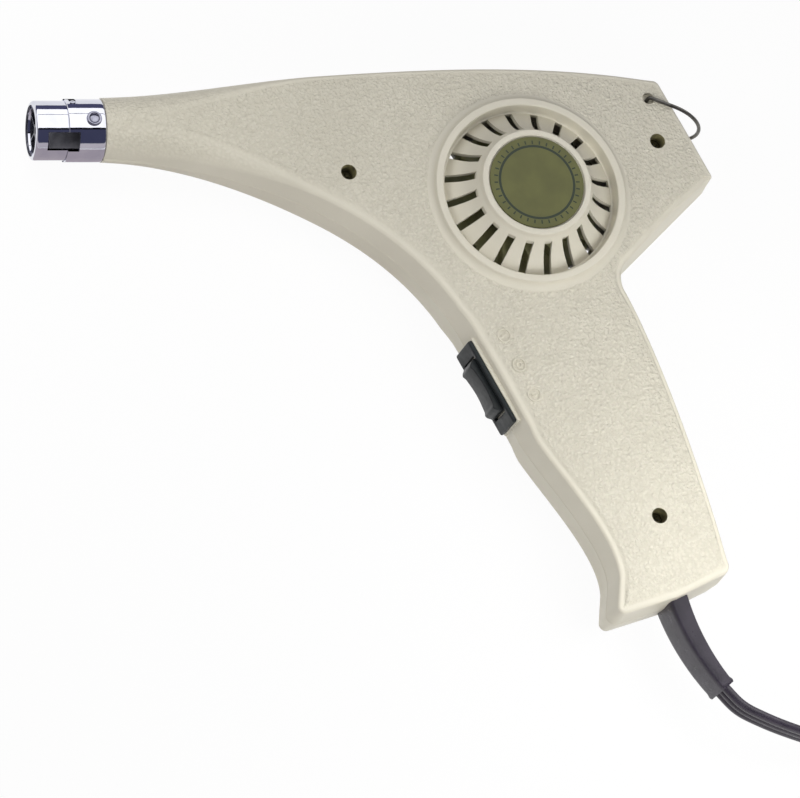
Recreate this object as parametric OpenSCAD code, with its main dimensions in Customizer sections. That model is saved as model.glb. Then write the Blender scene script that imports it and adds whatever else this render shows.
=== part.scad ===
// Embossing heat tool: a pistol-shaped hot air gun lying on its side.
// X runs along the nozzle axis from where its rolled lip ends, Y points away from the handle,
// and Z is across the tool, with the parting plane of the housing at 0.

/* [Housing] */
// Length from the nozzle's lip to the rear corner
tool_l = 230.6; // [222:0.2:240]
// Drop of the handle's toe below the nozzle axis
tool_drop = 174.5; // [168:0.5:182]
// Radius of the barrel where it meets the nozzle
barrel_r = 10.9; // [10.4:0.1:11.6]
// Half the thickness of the housing at its border
half_t = 12; // [11.4:0.1:13]
// Wall thickness of the housing halves
wall = 2.2; // [1.8:0.1:2.5]
// Radius of the moulded edge
edge_r = 2.5; // [1.8:0.1:3]
// Height of the raised side panel
panel_h = 0.8; // [0.5:0.1:1.2]
// Width of the smooth border along the front of the panel
border_w = 2.4; // [1.6:0.1:3]

/* [Blower inlet] */
// Distance of the fan axis behind the nozzle's lip
fan_x = 164.5; // [161:0.5:167]
// Drop of the fan axis below the nozzle axis
fan_drop = 27; // [25:0.5:29]
// Radius inside the raised rim
inlet_r = 30.4; // [29.4:0.1:31]
// Width of the flat top of the rim
rim_w = 2.7; // [2:0.1:3.4]
// Height of the rim above the side panel
rim_h = 2.4; // [1.8:0.1:3]
// Depth of the air channel below the rim
channel_d = 4.5; // [3.8:0.1:5]
// Radius of the central boss
boss_r = 19; // [18.4:0.1:19.4]
// Height of the boss above the rim
boss_h = 6; // [5:0.1:7]
// Number of inlet slots
slot_n = 20; // [16:1:24]
// Width of an inlet slot
slot_w = 2.4; // [1.8:0.1:2.8]
// Radius of the label disc
disc_r = 16.3; // [15.5:0.1:16.6]
// Thickness of the label disc
disc_t = 0.6; // [0.4:0.1:1]

/* [Nozzle] */
// Distance from the lip to the front of the housing
nozzle_l = 22.4; // [20:0.2:24]
// Outer radius of the front sleeve
sleeve_r = 9.9; // [9.4:0.1:10]
// Sheet thickness of the sleeve and the collar
sheet_t = 0.65; // [0.5:0.05:0.8]
// Distance from the lip to the front edge of the collar
collar_x = 9.8; // [9:0.1:10.5]
// Length of the bayonet window
window_l = 10.6; // [9.5:0.1:11]
// Angle that the bayonet window takes up
window_a = 38; // [30:1:44]
// Radius of a bayonet lug
lug_r = 0.9; // [0.7:0.05:1.1]
// Turn that frees the sleeve
lug_turn = 22; // [16:1:26]

/* [Heater] */
// Outer radius of the steel heater tube
heater_r = 8.2; // [8:0.05:8.3]
// Length of the heater tube
heater_l = 74; // [66:1:80]
// Number of turns in the heating coil
coil_turns = 11; // [8:1:13]
// Radius of the heating wire
wire_r = 0.45; // [0.35:0.05:0.5]

/* [Fan and motor] */
// Outer radius of the impeller
impeller_r = 27; // [25:0.5:27.5]
// Height of the impeller blades on each side of the disc
blade_h = 6; // [5:0.1:6.5]
// Number of impeller blades
blade_n = 14; // [10:1:18]
// Outer radius of the motor
motor_r = 12.6; // [12:0.1:13]
// Radius of the motor shaft
shaft_r = 1; // [0.8:0.1:1.3]

/* [Switch] */
// Length of the switch bezel
bezel_l = 31; // [29:0.5:33]
// Width of the switch bezel
bezel_w = 15; // [14:0.5:16]
// Height of the switch bezel above the wall
bezel_h = 1.4; // [1:0.1:1.8]
// Length of the rocker
rocker_l = 20.6; // [18:0.2:22]
// Width of the rocker
rocker_w = 9.8; // [9:0.1:10.4]

/* [Hang bail] */
// Radius of the bail wire
bail_wire_r = 0.65; // [0.5:0.05:0.8]
// Reach of the bail from its pivot
bail_l = 22; // [20:0.5:24]
// Angle of the bail below the nozzle axis
bail_rest = 22; // [15:1:30]

/* [Screws] */
// Radius of the screw holes in the left half
screw_hole_r = 2.7; // [2.5:0.1:3]
// Radius of the screw threads
screw_r = 1.5; // [1.25:0.05:1.6]

/* [Cord] */
// Thickness of the flat cord
cord_t = 3.1; // [2.8:0.1:3.2]
// Width of the flat cord
cord_w = 9.4; // [9:0.1:9.8]
// Length of the strain relief outside the housing
relief_l = 32; // [28:1:36]

/* [Clearances] */
// Radial gap of a running fit
run_gap = 0.05; // [0.03:0.01:0.08]
// Gap between seated pieces
seat_gap = 0.15; // [0.1:0.05:0.25]
// Gap round a moving piece
move_gap = 0.4; // [0.3:0.05:0.6]

/* [Hidden] */
$fn = 64;
eps = 0.01;
panel_z = half_t + panel_h;
rim_z = panel_z + rim_h;
boss_z = rim_z + boss_h;
inner_z = half_t - wall;
fan_c = [fan_x, -fan_drop];
sleeve_end = collar_x + 6.6;
heater_x = sleeve_end + 0.5;

// Corners of the outline in the parting plane
rear_top = [tool_l - 15.2, barrel_r + 2.9];
rear_low = [tool_l + 0.4, -18.8];
crotch = [tool_l - 38.6, -57];
heel = [tool_l - 11.8, -tool_drop + 13.2];
toe = [tool_l - 51.4, -tool_drop - 1];

// The flat on the front wall that carries the switch
switch_c = [fan_x - 18.8, -fan_drop - 64.9];
switch_dir = [0.403, -0.915];
switch_half = 20;
flat_start = switch_c - switch_half * switch_dir;
flat_end = switch_c + switch_half * switch_dir;

// Small vector and curve helpers
function unit(v) = v / norm(v);
function mix(a, b, t) = a + (b - a) * t;
function clamp01(t) = min(1, max(0, t));
function smooth(t) = let (c = clamp01(t)) c * c * (3 - 2 * c);
function bezier(p, t) =
    pow(1 - t, 3) * p[0] + 3 * pow(1 - t, 2) * t * p[1] + 3 * (1 - t) * t * t * p[2] + pow(t, 3) * p[3];
function left_of(v) = [-v[1], v[0]];
function right_of(v) = [v[1], -v[0]];

// A vertex of the outline is [corner, mitre vector, inward normal, corner radius, sign, border width].
// inset_point moves it inwards by d and keeps the corner arcs concentric.
function inset_point(v, d) =
    let (r = max(v[3] - v[4] * d, 0.15))
    v[0] + d * v[1] + v[4] * r * (v[1] - v[2]);
function curve_vertices(p, n, first, last, side, border) = [
    for (i = [first:last])
        let (t = i / n, e = 0.001,
            d = unit(bezier(p, min(1, t + e)) - bezier(p, max(0, t - e))),
            m = side > 0 ? right_of(d) : left_of(d))
        [bezier(p, t), m, m, 0, 1, border]];
function line_vertices(a, b, ts, side, border) = [
    for (t = ts)
        let (m = side > 0 ? right_of(unit(b - a)) : left_of(unit(b - a)))
        [mix(a, b, t), m, m, 0, 1, border]];
function corner_vertices(before, c, after, r, n, side, border) =
    let (n1 = side > 0 ? right_of(unit(c - before)) : left_of(unit(c - before)),
        n2 = side > 0 ? right_of(unit(after - c)) : left_of(unit(after - c)),
        m = (n1 + n2) / (1 + n1 * n2),
        bend = cross(c - before, after - c),
        s = bend * side < 0 ? 1 : -1)
    [for (i = [0:n]) [c, m, unit(mix(n1, n2, i / n)), r, s, border]];

// Upper and rear chain of the outline, from the barrel's mouth round to the handle's bottom edge
top_curve = [[nozzle_l, barrel_r], [nozzle_l + 66, barrel_r + 1.9], [rear_top[0] - 64, barrel_r + 13.1],
    rear_top + [-3, 0.3]];
back_curve = [crotch + [1.3, -6], crotch + [13.8, -33.3], heel + [-6.4, 38.9], heel + [-0.4, 4.6]];
bottom_mid = (heel + toe) / 2 + [1.5, -1.8];
upper_chain = concat(
    curve_vertices(top_curve, 14, 0, 13, 1, 0.35),
    corner_vertices(top_curve[2] + [22, -4], rear_top, rear_low, 3, 2, 1, 0.35),
    line_vertices(rear_top, rear_low, [0.5], 1, 0.35),
    corner_vertices(rear_top, rear_low, crotch + [3, 2.6], 3.4, 3, 1, 0.8),
    line_vertices(rear_low, crotch + [3, 2.6], [0.5], 1, 1.6),
    corner_vertices(rear_low, crotch, back_curve[0], 5, 3, 1, border_w),
    curve_vertices(back_curve, 9, 0, 9, 1, border_w / 2),
    corner_vertices(back_curve[3], heel, bottom_mid, 4, 3, 1, border_w),
    line_vertices(heel, bottom_mid, [0.55, 1], 1, border_w));

// Lower and front chain, from the barrel's mouth down to the same edge
front_curve = [[nozzle_l, -barrel_r], [nozzle_l + 47, -barrel_r - 1.4], flat_start + [-18.2, 41.3],
    flat_start];
grip_curve = [flat_end, flat_end + [5.2, -11.8], [toe[0] + 1.3, -tool_drop + 27.5], toe + [1.4, 11.5]];
lower_chain = concat(
    curve_vertices(front_curve, 23, 0, 22, -1, border_w),
    line_vertices(flat_start, flat_end, [0, 0.2, 0.4, 0.6, 0.8, 1], -1, border_w),
    curve_vertices(grip_curve, 7, 1, 7, -1, border_w),
    corner_vertices(grip_curve[3], toe, bottom_mid, 3, 3, -1, border_w),
    line_vertices(toe, bottom_mid, [0.55, 0.92], -1, border_w));
ring_n = len(upper_chain);
function reversed(list) = [for (i = [len(list) - 1:-1:0]) list[i]];
ring = concat(upper_chain, reversed(lower_chain));

// The section goes from round at the barrel to a slab with moulded edges
round_end_x = nozzle_l + 6;
slab_start_x = nozzle_l + 74;
function slab_share(x) = smooth((x - round_end_x) / (slab_start_x - round_end_x));
function section_h(x) = mix(barrel_r, half_t, smooth((x - nozzle_l) / 26));
function section_r(x) = mix(barrel_r * 0.93, edge_r, slab_share(x));

// One closed half of the housing, inset by d; a plain one has no panel and reaches below the parting plane
arc_steps = 5;
function profile(v, d, plain) =
    let (x = v[0][0], share = slab_share(x), h = section_h(x) - d, r = max(section_r(x) - d, 0.5),
        step = plain ? 0.1 : panel_h * share, shelf = 0.1 + v[5] * share)
    concat([[0, plain ? -2 : 0]],
        [for (k = [0:arc_steps]) let (a = 90 * k / arc_steps) [r * (1 - cos(a)), h - r + r * sin(a)]],
        plain ? [] : [[r + shelf, h], [r + shelf + 0.3 + 0.3 * share, h + step]]);
module half_body(d = 0, plain = false) {
    n = len(ring);
    profiles = [for (v = ring) profile(v, d, plain)];
    m = len(profiles[0]);
    points = [for (k = [0:m - 1]) for (j = [0:n - 1])
        let (p = inset_point(ring[j], d + profiles[j][k][0]))
        [p[0] - (plain && (j == 0 || j == n - 1) ? 3 : 0), p[1], profiles[j][k][1]]];
    top = (m - 1) * n;
    faces = concat(
        [for (j = [0:ring_n - 2]) [j, n - 1 - j, j + 1]],
        [for (j = [0:ring_n - 2]) [j + 1, n - 1 - j, n - 2 - j]],
        [for (k = [0:m - 2]) for (j = [0:n - 2]) [k * n + j, k * n + j + 1, k * n + n + j + 1]],
        [for (k = [0:m - 2]) for (j = [0:n - 2]) [k * n + j, k * n + n + j + 1, k * n + n + j]],
        [concat([for (k = [0:m - 1]) k * n], [for (k = [m - 1:-1:0]) k * n + n - 1])],
        [for (j = [0:ring_n - 2]) [top + j, top + j + 1, top + n - 1 - j]],
        [for (j = [0:ring_n - 2]) [top + j + 1, top + n - 2 - j, top + n - 1 - j]]);
    polyhedron(points, faces, convexity = 6);
}

// Fan inlet: rim, dished channel and central boss, as one turned wall
channel_z = rim_z - channel_d;
rim_out = inlet_r + rim_w;
channel_top = boss_z - 1.7;
function arc_points(c, r, a0, a1, n) = [for (i = [0:n]) let (a = mix(a0, a1, i / n)) c + r * [cos(a), sin(a)]];
inlet_profile = concat(
    [[rim_out + rim_h + 0.4, half_t - 0.4], [rim_out + rim_h + 0.4, panel_z]],
    arc_points([rim_out + rim_h, rim_z], rim_h, 270, 180, 5),
    [[inlet_r + 0.5, rim_z], [inlet_r, rim_z - 0.5]],
    [[inlet_r - 0.5, channel_z + 0.9], [inlet_r - 1.2, channel_z]],
    [for (t = [0.2:0.2:0.8])
        mix([inlet_r - 1.2, channel_z], [boss_r + 0.3, channel_top], t) - [0.8, 0.8] * sin(180 * t)],
    [[boss_r + 0.3, channel_top], [boss_r, boss_z - 0.5], [boss_r - 0.5, boss_z], [disc_r + 0.5, boss_z],
        [disc_r + 0.3, boss_z - 0.3 - disc_t], [0, boss_z - 0.3 - disc_t]]);
inlet_inside = [[0, boss_z - 0.3 - disc_t - wall + 0.2], [boss_r - 2, boss_z - 0.3 - disc_t - wall + 0.2],
    [boss_r - 2, channel_top - 1.6], [inlet_r - 2.8, channel_z - 2.1], [inlet_r + 1.6, channel_z - 2.1],
    [inlet_r + 2, half_t - 0.9], [rim_out + rim_h + 0.4, half_t - 0.9]];
boss_in_z = boss_z - 0.3 - disc_t - wall + 0.2;
boss_in_r = boss_r - 2;
module inlet() {
    difference() {
        rotate_extrude(convexity = 6) polygon(concat(inlet_profile, inlet_inside));
        for (i = [0:slot_n - 1])
            rotate([0, 0, (i + 0.5) * 360 / slot_n])
                translate([boss_r + 1.8, -slot_w / 2, channel_z - 5])
                    cube([inlet_r - boss_r - 3.7, slot_w, 20]);
    }
}

// Spiral wall that leads the air from the fan into the barrel
scroll_in = impeller_r + 4.5;
scroll_grow = 11;
scroll_from = 216;
scroll_turn = 228;
scroll_w = 1.6;
module scroll_wall() {
    steps = 24;
    function at(i, extra) = let (a = scroll_from + scroll_turn * i / steps)
        (scroll_in + scroll_grow * i / steps + extra) * [cos(a), sin(a)];
    linear_extrude(half_t - 0.9)
        polygon(concat([for (i = [0:steps]) at(i, 0)], [for (i = [steps:-1:0]) at(i, scroll_w)]));
}

// Ribs, posts and seats common to both halves
rib_front_x = nozzle_l + 10;
rib_rear_x = heater_x + heater_l - 6.5;
rib_w = 2;
screw_at = [[fan_x - 62, -barrel_r - 8.8], rear_top + [-3, -22.4], [tool_l - 34.9, -tool_drop + 33]];
bail_at = rear_top + [-4.3, -6.8];
bail_seat_z = panel_z - 6;
module heater_ribs() {
    difference() {
        union() {
            translate([rib_front_x, 0, 0]) rotate([0, 90, 0]) cylinder(r = barrel_r - 0.9, h = rib_w);
            translate([rib_rear_x, -barrel_r - 11, 0]) cube([rib_w, 2 * barrel_r + 13, half_t - 1]);
        }
        translate([0, 0, -40]) cube([500, 500, 80], center = true);
        translate([nozzle_l, 0, 0]) rotate([0, 90, 0])
            cylinder(r = heater_r + run_gap, h = rib_rear_x + rib_w);
    }
}
clamp_at = [tool_l - 35.5, -tool_drop + 17.5];
clamp_span = 8.5;

// Cuts that both halves share: the switch, the cord, the heater tube and the bail pivot
relief_base = [tool_l - 30, -tool_drop + 5];
relief_dir0 = unit([0.22, -0.97]);
relief_dir1 = unit([0.6, -0.8]);
relief_h0 = 14.4;
relief_w0 = 7.2;
relief_h1 = 12.4;
relief_w1 = 4.9;
flange_gap = 3;
flange_t = 2;
flange_out = 1.6;
module at_switch() {
    translate([switch_c[0], switch_c[1], 0])
        rotate([0, 0, atan2(switch_dir[1], switch_dir[0])]) children();
}
module at_relief() {
    translate([relief_base[0], relief_base[1], 0])
        rotate([0, 0, atan2(relief_dir0[1], relief_dir0[0]) + 90]) children();
}
switch_cut_l = bezel_l - 3;
switch_cut_w = bezel_w - 2.2;
module shared_cuts() {
    at_switch()
        translate([-switch_cut_l / 2 - seat_gap, -5, -switch_cut_w / 2 - seat_gap])
            cube([switch_cut_l + 2 * seat_gap, 12, switch_cut_w + 2 * seat_gap]);
    at_relief()
        translate([-relief_w0 / 2 - seat_gap, -9, -relief_h0 / 2 - seat_gap])
            cube([relief_w0 + 2 * seat_gap, 18, relief_h0 + 2 * seat_gap]);
    translate([nozzle_l - 6, 0, 0]) rotate([0, 90, 0])
        cylinder(r = heater_r + run_gap, h = 14);
    translate([bail_at[0], bail_at[1], bail_seat_z]) cylinder(r = bail_wire_r + run_gap, h = 20);
    translate([bail_at[0], bail_at[1], panel_z - 2]) cylinder(r = 2.1, h = 20);
}

module half_shell() {
    difference() {
        half_body();
        half_body(wall, true);
        translate([fan_c[0], fan_c[1], 0]) cylinder(r = rim_out + 1, h = 40);
    }
    translate([fan_c[0], fan_c[1], 0]) {
        inlet();
        scroll_wall();
    }
    heater_ribs();
    for (p = screw_at) translate([p[0], p[1], 0]) cylinder(r = screw_hole_r + 1.7, h = half_t - 0.9);
    translate([bail_at[0], bail_at[1], bail_seat_z - 3]) cylinder(r = 3.6, h = half_t - bail_seat_z + 2);
}

screw_head_z = 4;
screw_head_h = 1.7;
screw_l = 11;
driver_l = 2.8;
driver_w = 0.6;
driver_d = 0.9;
module left_shell() {
    color("#d8d3c0")
        difference() {
            half_shell();
            shared_cuts();
            for (p = screw_at) translate([p[0], p[1], -1]) {
                cylinder(r = screw_r + 0.15, h = 40);
                translate([0, 0, screw_head_z + 1]) cylinder(r = screw_hole_r, h = 40);
            }
        }
}
module right_shell() {
    color("#cfcab7")
        mirror([0, 0, 1]) {
            difference() {
                half_shell();
                shared_cuts();
                for (p = screw_at) translate([p[0], p[1], -1])
                    cylinder(r = screw_r + run_gap, h = screw_l - screw_head_z + 1.5);
            }
            clamp_posts();
        }
}

// Two posts in the right half that the cord clamp is screwed to
clamp_post_r = 2.4;
clamp_z = 6;
module at_clamp() {
    translate([clamp_at[0], clamp_at[1], 0])
        rotate([0, 0, atan2(relief_dir0[1], relief_dir0[0]) + 90]) children();
}
module clamp_posts() {
    at_clamp() for (s = [-1, 1])
        translate([s * clamp_span, 0, clamp_z]) difference() {
            cylinder(r = clamp_post_r, h = inner_z - clamp_z + 0.6);
            translate([0, 0, -1]) cylinder(r = 1.2 + run_gap, h = 4);
        }
}
module cord_clamp() {
    color("#2c2b2d") at_clamp()
        translate([0, 0, -clamp_z]) difference() {
            translate([-clamp_span - 2.6, -3, 0]) cube([2 * clamp_span + 5.2, 6, 2.2]);
            for (s = [-1, 1]) translate([s * clamp_span, 0, -1]) cylinder(r = 1.35, h = 5);
        }
}
module clamp_screws() {
    color("#b9bbbd") at_clamp() for (s = [-1, 1]) translate([s * clamp_span, 0, -clamp_z]) {
        translate([0, 0, -2.8]) cylinder(r = 1.2, h = 2.8 + 2.2);
        translate([0, 0, 2.2]) cylinder(r = 2.1, h = 1.2);
    }
}

module label_disc() {
    color("#8c8a5e")
        translate([fan_c[0], fan_c[1], boss_z - 0.3 - disc_t]) cylinder(r = disc_r, h = disc_t);
}
module housing_screws() {
    color("#b9bbbd") for (p = screw_at) translate([p[0], p[1], 0]) {
        translate([0, 0, screw_head_z - screw_l + 1]) cylinder(r = screw_r, h = screw_l);
        translate([0, 0, screw_head_z + 1]) difference() {
            cylinder(r = screw_hole_r - 0.25, h = screw_head_h);
            for (a = [0, 90]) rotate([0, 0, a])
                translate([-driver_l / 2, -driver_w / 2, screw_head_h - driver_d]) cube([driver_l, driver_w, 2]);
        }
    }
}

// Wire bail: two legs with inturned ends and a half-round crossbar
bail_z = panel_z + bail_wire_r + move_gap;
module hang_bail() {
    leg = bail_l - bail_z;
    color("#5a5852")
        translate([bail_at[0], bail_at[1], 0]) rotate([0, 0, -bail_rest]) {
            for (s = [-1, 1]) scale([1, 1, s]) {
                translate([0, 0, bail_z]) rotate([0, 90, 0]) cylinder(r = bail_wire_r, h = leg, $fn = 32);
                translate([0, 0, bail_seat_z + 0.3]) cylinder(r = bail_wire_r, h = bail_z - bail_seat_z - 0.3);
                translate([0, 0, bail_z]) sphere(r = bail_wire_r, $fn = 32);
            }
            translate([leg, 0, 0]) rotate([90, 0, 0]) rotate([0, 0, -90])
                rotate_extrude(angle = 180) translate([bail_z, 0]) circle(r = bail_wire_r, $fn = 32);
        }
}

// Nozzle: every piece is turned about the X axis
module along_x(x = 0) {
    translate([x, 0, 0]) rotate([0, 90, 0]) children();
}
// Turns a piece about the X axis so that 0 faces +Z and positive angles face the handle
module at_angle(a) {
    rotate([a, 0, 0]) children();
}
window_mid = 44;
window_x = 2.9;
neck_r = sleeve_r - 0.25;
neck_x = collar_x - 0.2;
collar_in = neck_r + run_gap;
collar_out = collar_in + sheet_t + 0.15;
collar_l = nozzle_l - collar_x;
rivet_x = sleeve_end + 1.8;
rivet_r = 1.2;
lug_x = collar_x + 2.3;
lug_angles = [-42, 138];
module sector_cut(x, l, a0, a1) {
    intersection() {
        along_x(x) cylinder(r = 30, h = l);
        at_angle(a0) translate([-10, -60, -60]) cube([100, 60, 120]);
        at_angle(a1) translate([-10, 0, -60]) cube([100, 60, 120]);
    }
}
module nozzle_sleeve() {
    lip = 1.1;
    color("#c9ccd2") difference() {
        union() {
            along_x() rotate_extrude() polygon(concat(
                arc_points([sleeve_r - lip, 0], lip, 0, -90, 5),
                [[sleeve_r - lip - 0.5, -lip], [sleeve_r - lip - 0.5, sheet_t - lip],
                    [sleeve_r - lip, sheet_t - lip], [neck_r - sheet_t, 0], [neck_r - sheet_t, sleeve_end],
                    [neck_r, sleeve_end], [neck_r, neck_x], [sleeve_r, neck_x]]));
            for (a = lug_angles) at_angle(a)
                translate([lug_x, 0, neck_r - sheet_t]) cylinder(r = lug_r, h = 2 * sheet_t + 0.5);
        }
        sector_cut(window_x, window_l, window_mid - window_a / 2, window_mid + window_a / 2);
    }
}
module nozzle_collar() {
    slot = lug_r + 0.25;
    color("#b7bbc3") difference() {
        along_x(collar_x) rotate_extrude() polygon([[collar_in, 0], [collar_out - 0.2, 0], [collar_out, 0.3],
            [collar_out, collar_l - 0.4], [collar_out - 0.4, collar_l], [heater_r + run_gap, collar_l],
            [heater_r + run_gap, collar_l - 1.2], [collar_in, collar_l - 1.2]]);
        sector_cut(collar_x - 1, window_x + window_l + 1 - collar_x,
            window_mid - window_a / 2, window_mid + window_a / 2);
        for (a = lug_angles) {
            sector_cut(collar_x - 1, lug_x + slot - collar_x + 1, a - lug_turn - 7, a - lug_turn + 7);
            sector_cut(lug_x - slot, 2 * slot, a - lug_turn, a + 7);
        }
        for (a = [0, 180]) at_angle(a) translate([rivet_x, 0, 0]) cylinder(r = rivet_r + run_gap, h = 20);
    }
}
module collar_rivets() {
    color("#d5d7da") for (a = [0, 180]) at_angle(a) translate([rivet_x, 0, 0]) {
        translate([0, 0, heater_r + 0.15]) cylinder(r = rivet_r, h = collar_out - heater_r + 0.35);
        translate([0, 0, collar_out + 0.05]) difference() {
            cylinder(r = 2.6, h = 0.7);
            translate([0, 0, 0.45]) cylinder(r = 1.7, h = 1);
        }
    }
}
module nozzle_spider() {
    ring_in = neck_r - sheet_t - seat_gap;
    color("#8d9096") along_x(0.5) {
        difference() {
            cylinder(r = ring_in, h = 1.6);
            translate([0, 0, -1]) cylinder(r = ring_in - 0.7, h = 4);
        }
        difference() {
            for (a = [0:60:120]) rotate([0, 0, a])
                translate([-ring_in + 0.3, -0.3, 0]) cube([2 * ring_in - 0.6, 0.6, 1.6]);
            translate([0, 0, -1]) cylinder(r = 1.5, h = 4);
        }
        difference() {
            cylinder(r = 2.2, h = 1.6);
            translate([0, 0, -1]) cylinder(r = 1.2, h = 4);
        }
    }
}

// Heater: steel tube, mica liner, crossed mica boards and the resistance wire wound on them
liner_r = heater_r - 0.5;
core_half = liner_r - 0.6 - 2 * wire_r - 0.35;
core_x = 5;
core_l = heater_x + heater_l - core_x - 4;
board_t = 0.8;
module heater_tube() {
    color("#9a9ca0") along_x(heater_x) difference() {
        cylinder(r = heater_r, h = heater_l);
        translate([0, 0, -1]) cylinder(r = heater_r - 0.4, h = heater_l + 2);
    }
}
module mica_liner() {
    color("#cbb98f") along_x(heater_x + 1) difference() {
        cylinder(r = liner_r + 0.05, h = heater_l - 2);
        translate([0, 0, -1]) cylinder(r = liner_r - 0.4, h = heater_l);
    }
}
module heater_core() {
    color("#ded5bd") {
        for (a = [0, 90]) rotate([a + 20, 0, 0])
            translate([core_x, -core_half, -board_t / 2]) cube([core_l, 2 * core_half, board_t]);
    }
}
coil_x = heater_x + 6;
coil_l = heater_l - 18;
module heating_coil() {
    sides = 6;
    per_turn = 12;
    steps = coil_turns * per_turn;
    winding_r = (core_half + wire_r + 0.1) / cos(180 / per_turn);
    points = [for (i = [0:steps]) let (a = 360 * i / per_turn) for (j = [0:sides - 1])
        let (b = 360 * j / sides, r = winding_r + wire_r * cos(b))
        [coil_x + coil_l * i / steps + wire_r * sin(b), r * cos(a), r * sin(a)]];
    faces = concat(
        [[for (j = [sides - 1:-1:0]) j]],
        [for (i = [0:steps - 1]) for (j = [0:sides - 1]) let (k = (j + 1) % sides)
            [i * sides + j, i * sides + k, (i + 1) * sides + k, (i + 1) * sides + j]],
        [[for (j = [0:sides - 1]) steps * sides + j]]);
    color("#7c7468") polyhedron(points, faces, convexity = 10);
}
module heater_end_plate() {
    color("#c2b083") along_x(heater_x + heater_l + 0.1) difference() {
        cylinder(r = heater_r + 1.2, h = 1);
        for (a = [0:60:300]) rotate([0, 0, a]) translate([5, 0, -1]) cylinder(r = 1.6, h = 4);
    }
}
module thermal_cutout() {
    color("#a9a49a") along_x(heater_x + heater_l + 1.2) {
        translate([-2.6, -3.2, 0]) cube([5.2, 6.4, 9]);
        for (s = [-1, 1]) translate([0, s * 1.9, 9]) cylinder(r = 0.5, h = 4);
    }
}

// Fan: the impeller turns with the motor's shaft, core, winding and commutator
motor_z0 = 2.5;
can_t = 0.8;
motor_top = boss_in_z - 0.3;
hub_r = 4;
module at_fan(z = 0) {
    translate([fan_c[0], fan_c[1], z]) children();
}
hub_drop = 8;
hub_rise = 1.4;
fan_disc_t = 1.2;
blade_t = 1;
module impeller() {
    eye_r = motor_r + 2;
    color("#4b4b4a") at_fan() difference() {
        union() {
            translate([0, 0, -fan_disc_t / 2]) cylinder(r = impeller_r, h = fan_disc_t);
            translate([0, 0, -hub_drop]) cylinder(r = hub_r, h = hub_drop + hub_rise);
            intersection() {
                for (i = [0:blade_n - 1]) rotate([0, 0, i * 360 / blade_n])
                    translate([eye_r, 0, -blade_h]) rotate([0, 0, 32])
                        cube([(impeller_r - eye_r) * 0.98, blade_t, 2 * blade_h]);
                translate([0, 0, -blade_h]) cylinder(r = impeller_r, h = 2 * blade_h);
            }
        }
        translate([0, 0, -hub_drop - 1]) cylinder(r = shaft_r + 0.02, h = hub_drop + hub_rise + 2);
    }
}
module motor_shaft() {
    color("#c4c6c9") at_fan(-7) cylinder(r = shaft_r, h = motor_top + 6.6);
}
core_z = motor_z0 + 4.2;
core_h = 5.4;
module armature_core() {
    pole_r = motor_r - can_t - 3.4;
    color("#7f8288") at_fan(core_z) difference() {
        cylinder(r = pole_r, h = core_h);
        translate([0, 0, -1]) cylinder(r = shaft_r + 0.02, h = core_h + 2);
        for (a = [0:120:240]) rotate([0, 0, a]) {
            translate([pole_r - 1.2, -0.6, -1]) cube([4, 1.2, core_h + 2]);
            translate([pole_r - 3.4, -1.7, -1]) cube([2.4, 3.4, core_h + 2]);
        }
    }
}
module armature_winding() {
    color("#a65c32") at_fan(core_z) for (z = [-1.25, core_h + 0.05]) translate([0, 0, z]) difference() {
        cylinder(r = 6, h = 1.2);
        translate([0, 0, -1]) cylinder(r = 2.6, h = 4);
    }
}
comm_z = core_z + core_h + 1.5;
module commutator() {
    color("#b87333") at_fan(comm_z) difference() {
        cylinder(r = 2.4, h = 2);
        translate([0, 0, -1]) cylinder(r = shaft_r + 0.02, h = 4);
        for (a = [30:120:270]) rotate([0, 0, a]) translate([1.9, -0.15, -1]) cube([2, 0.3, 4]);
    }
}
module motor_can() {
    color("#8e9196") at_fan(motor_z0) difference() {
        cylinder(r = motor_r, h = motor_top - motor_z0);
        translate([0, 0, can_t]) cylinder(r = motor_r - can_t, h = 40);
        translate([0, 0, -1]) cylinder(r = 2.5 + 0.02, h = 4);
    }
}
module motor_magnets() {
    color("#3d3c3b") at_fan(motor_z0 + 2.4) for (a = [0, 180]) rotate([0, 0, a - 62])
        rotate_extrude(angle = 124) translate([motor_r - can_t - 2.7, 0]) square([2.65, 8.4]);
}
cap_h = 2;
module motor_end_cap() {
    color("#e4dfd0") at_fan(motor_top - cap_h - 0.1) difference() {
        cylinder(r = motor_r - can_t - 0.05, h = cap_h);
        translate([0, 0, -1]) cylinder(r = 2.5 + 0.02, h = 4);
    }
}
module motor_brushes() {
    brush_h = 1.4;
    color("#4a4a4c") at_fan(comm_z + 0.3) for (a = [0, 180]) rotate([0, 0, a]) {
        translate([2.45, -0.9, 0]) cube([2.6, 1.8, brush_h]);
        translate([5.05, -0.9, 0]) cube([0.8, 1.8, motor_top - cap_h - 0.15 - comm_z - 0.3]);
    }
}
module motor_bushes() {
    color("#b08d57") at_fan() {
        translate([0, 0, motor_z0]) bush(1.8);
        translate([0, 0, motor_top - cap_h - 0.1]) bush(cap_h);
    }
}
module bush(h) {
    difference() {
        cylinder(r = 2.5, h = h);
        translate([0, 0, -1]) cylinder(r = shaft_r + run_gap, h = h + 2);
    }
}
mount_low = 6;
notch_d = 1.6;
notch_w = 3;
module motor_mount_ring() {
    h = motor_top - motor_z0 - mount_low;
    color("#333234") at_fan(motor_z0 + mount_low) difference() {
        cylinder(r = boss_in_r - seat_gap, h = h);
        translate([0, 0, -1]) cylinder(r = motor_r + 0.03, h = h + 2);
        for (a = [0:60:300]) rotate([0, 0, a + 30])
            translate([boss_in_r - notch_d, -notch_w / 2, -1]) cube([4, notch_w, h + 2]);
    }
}

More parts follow.
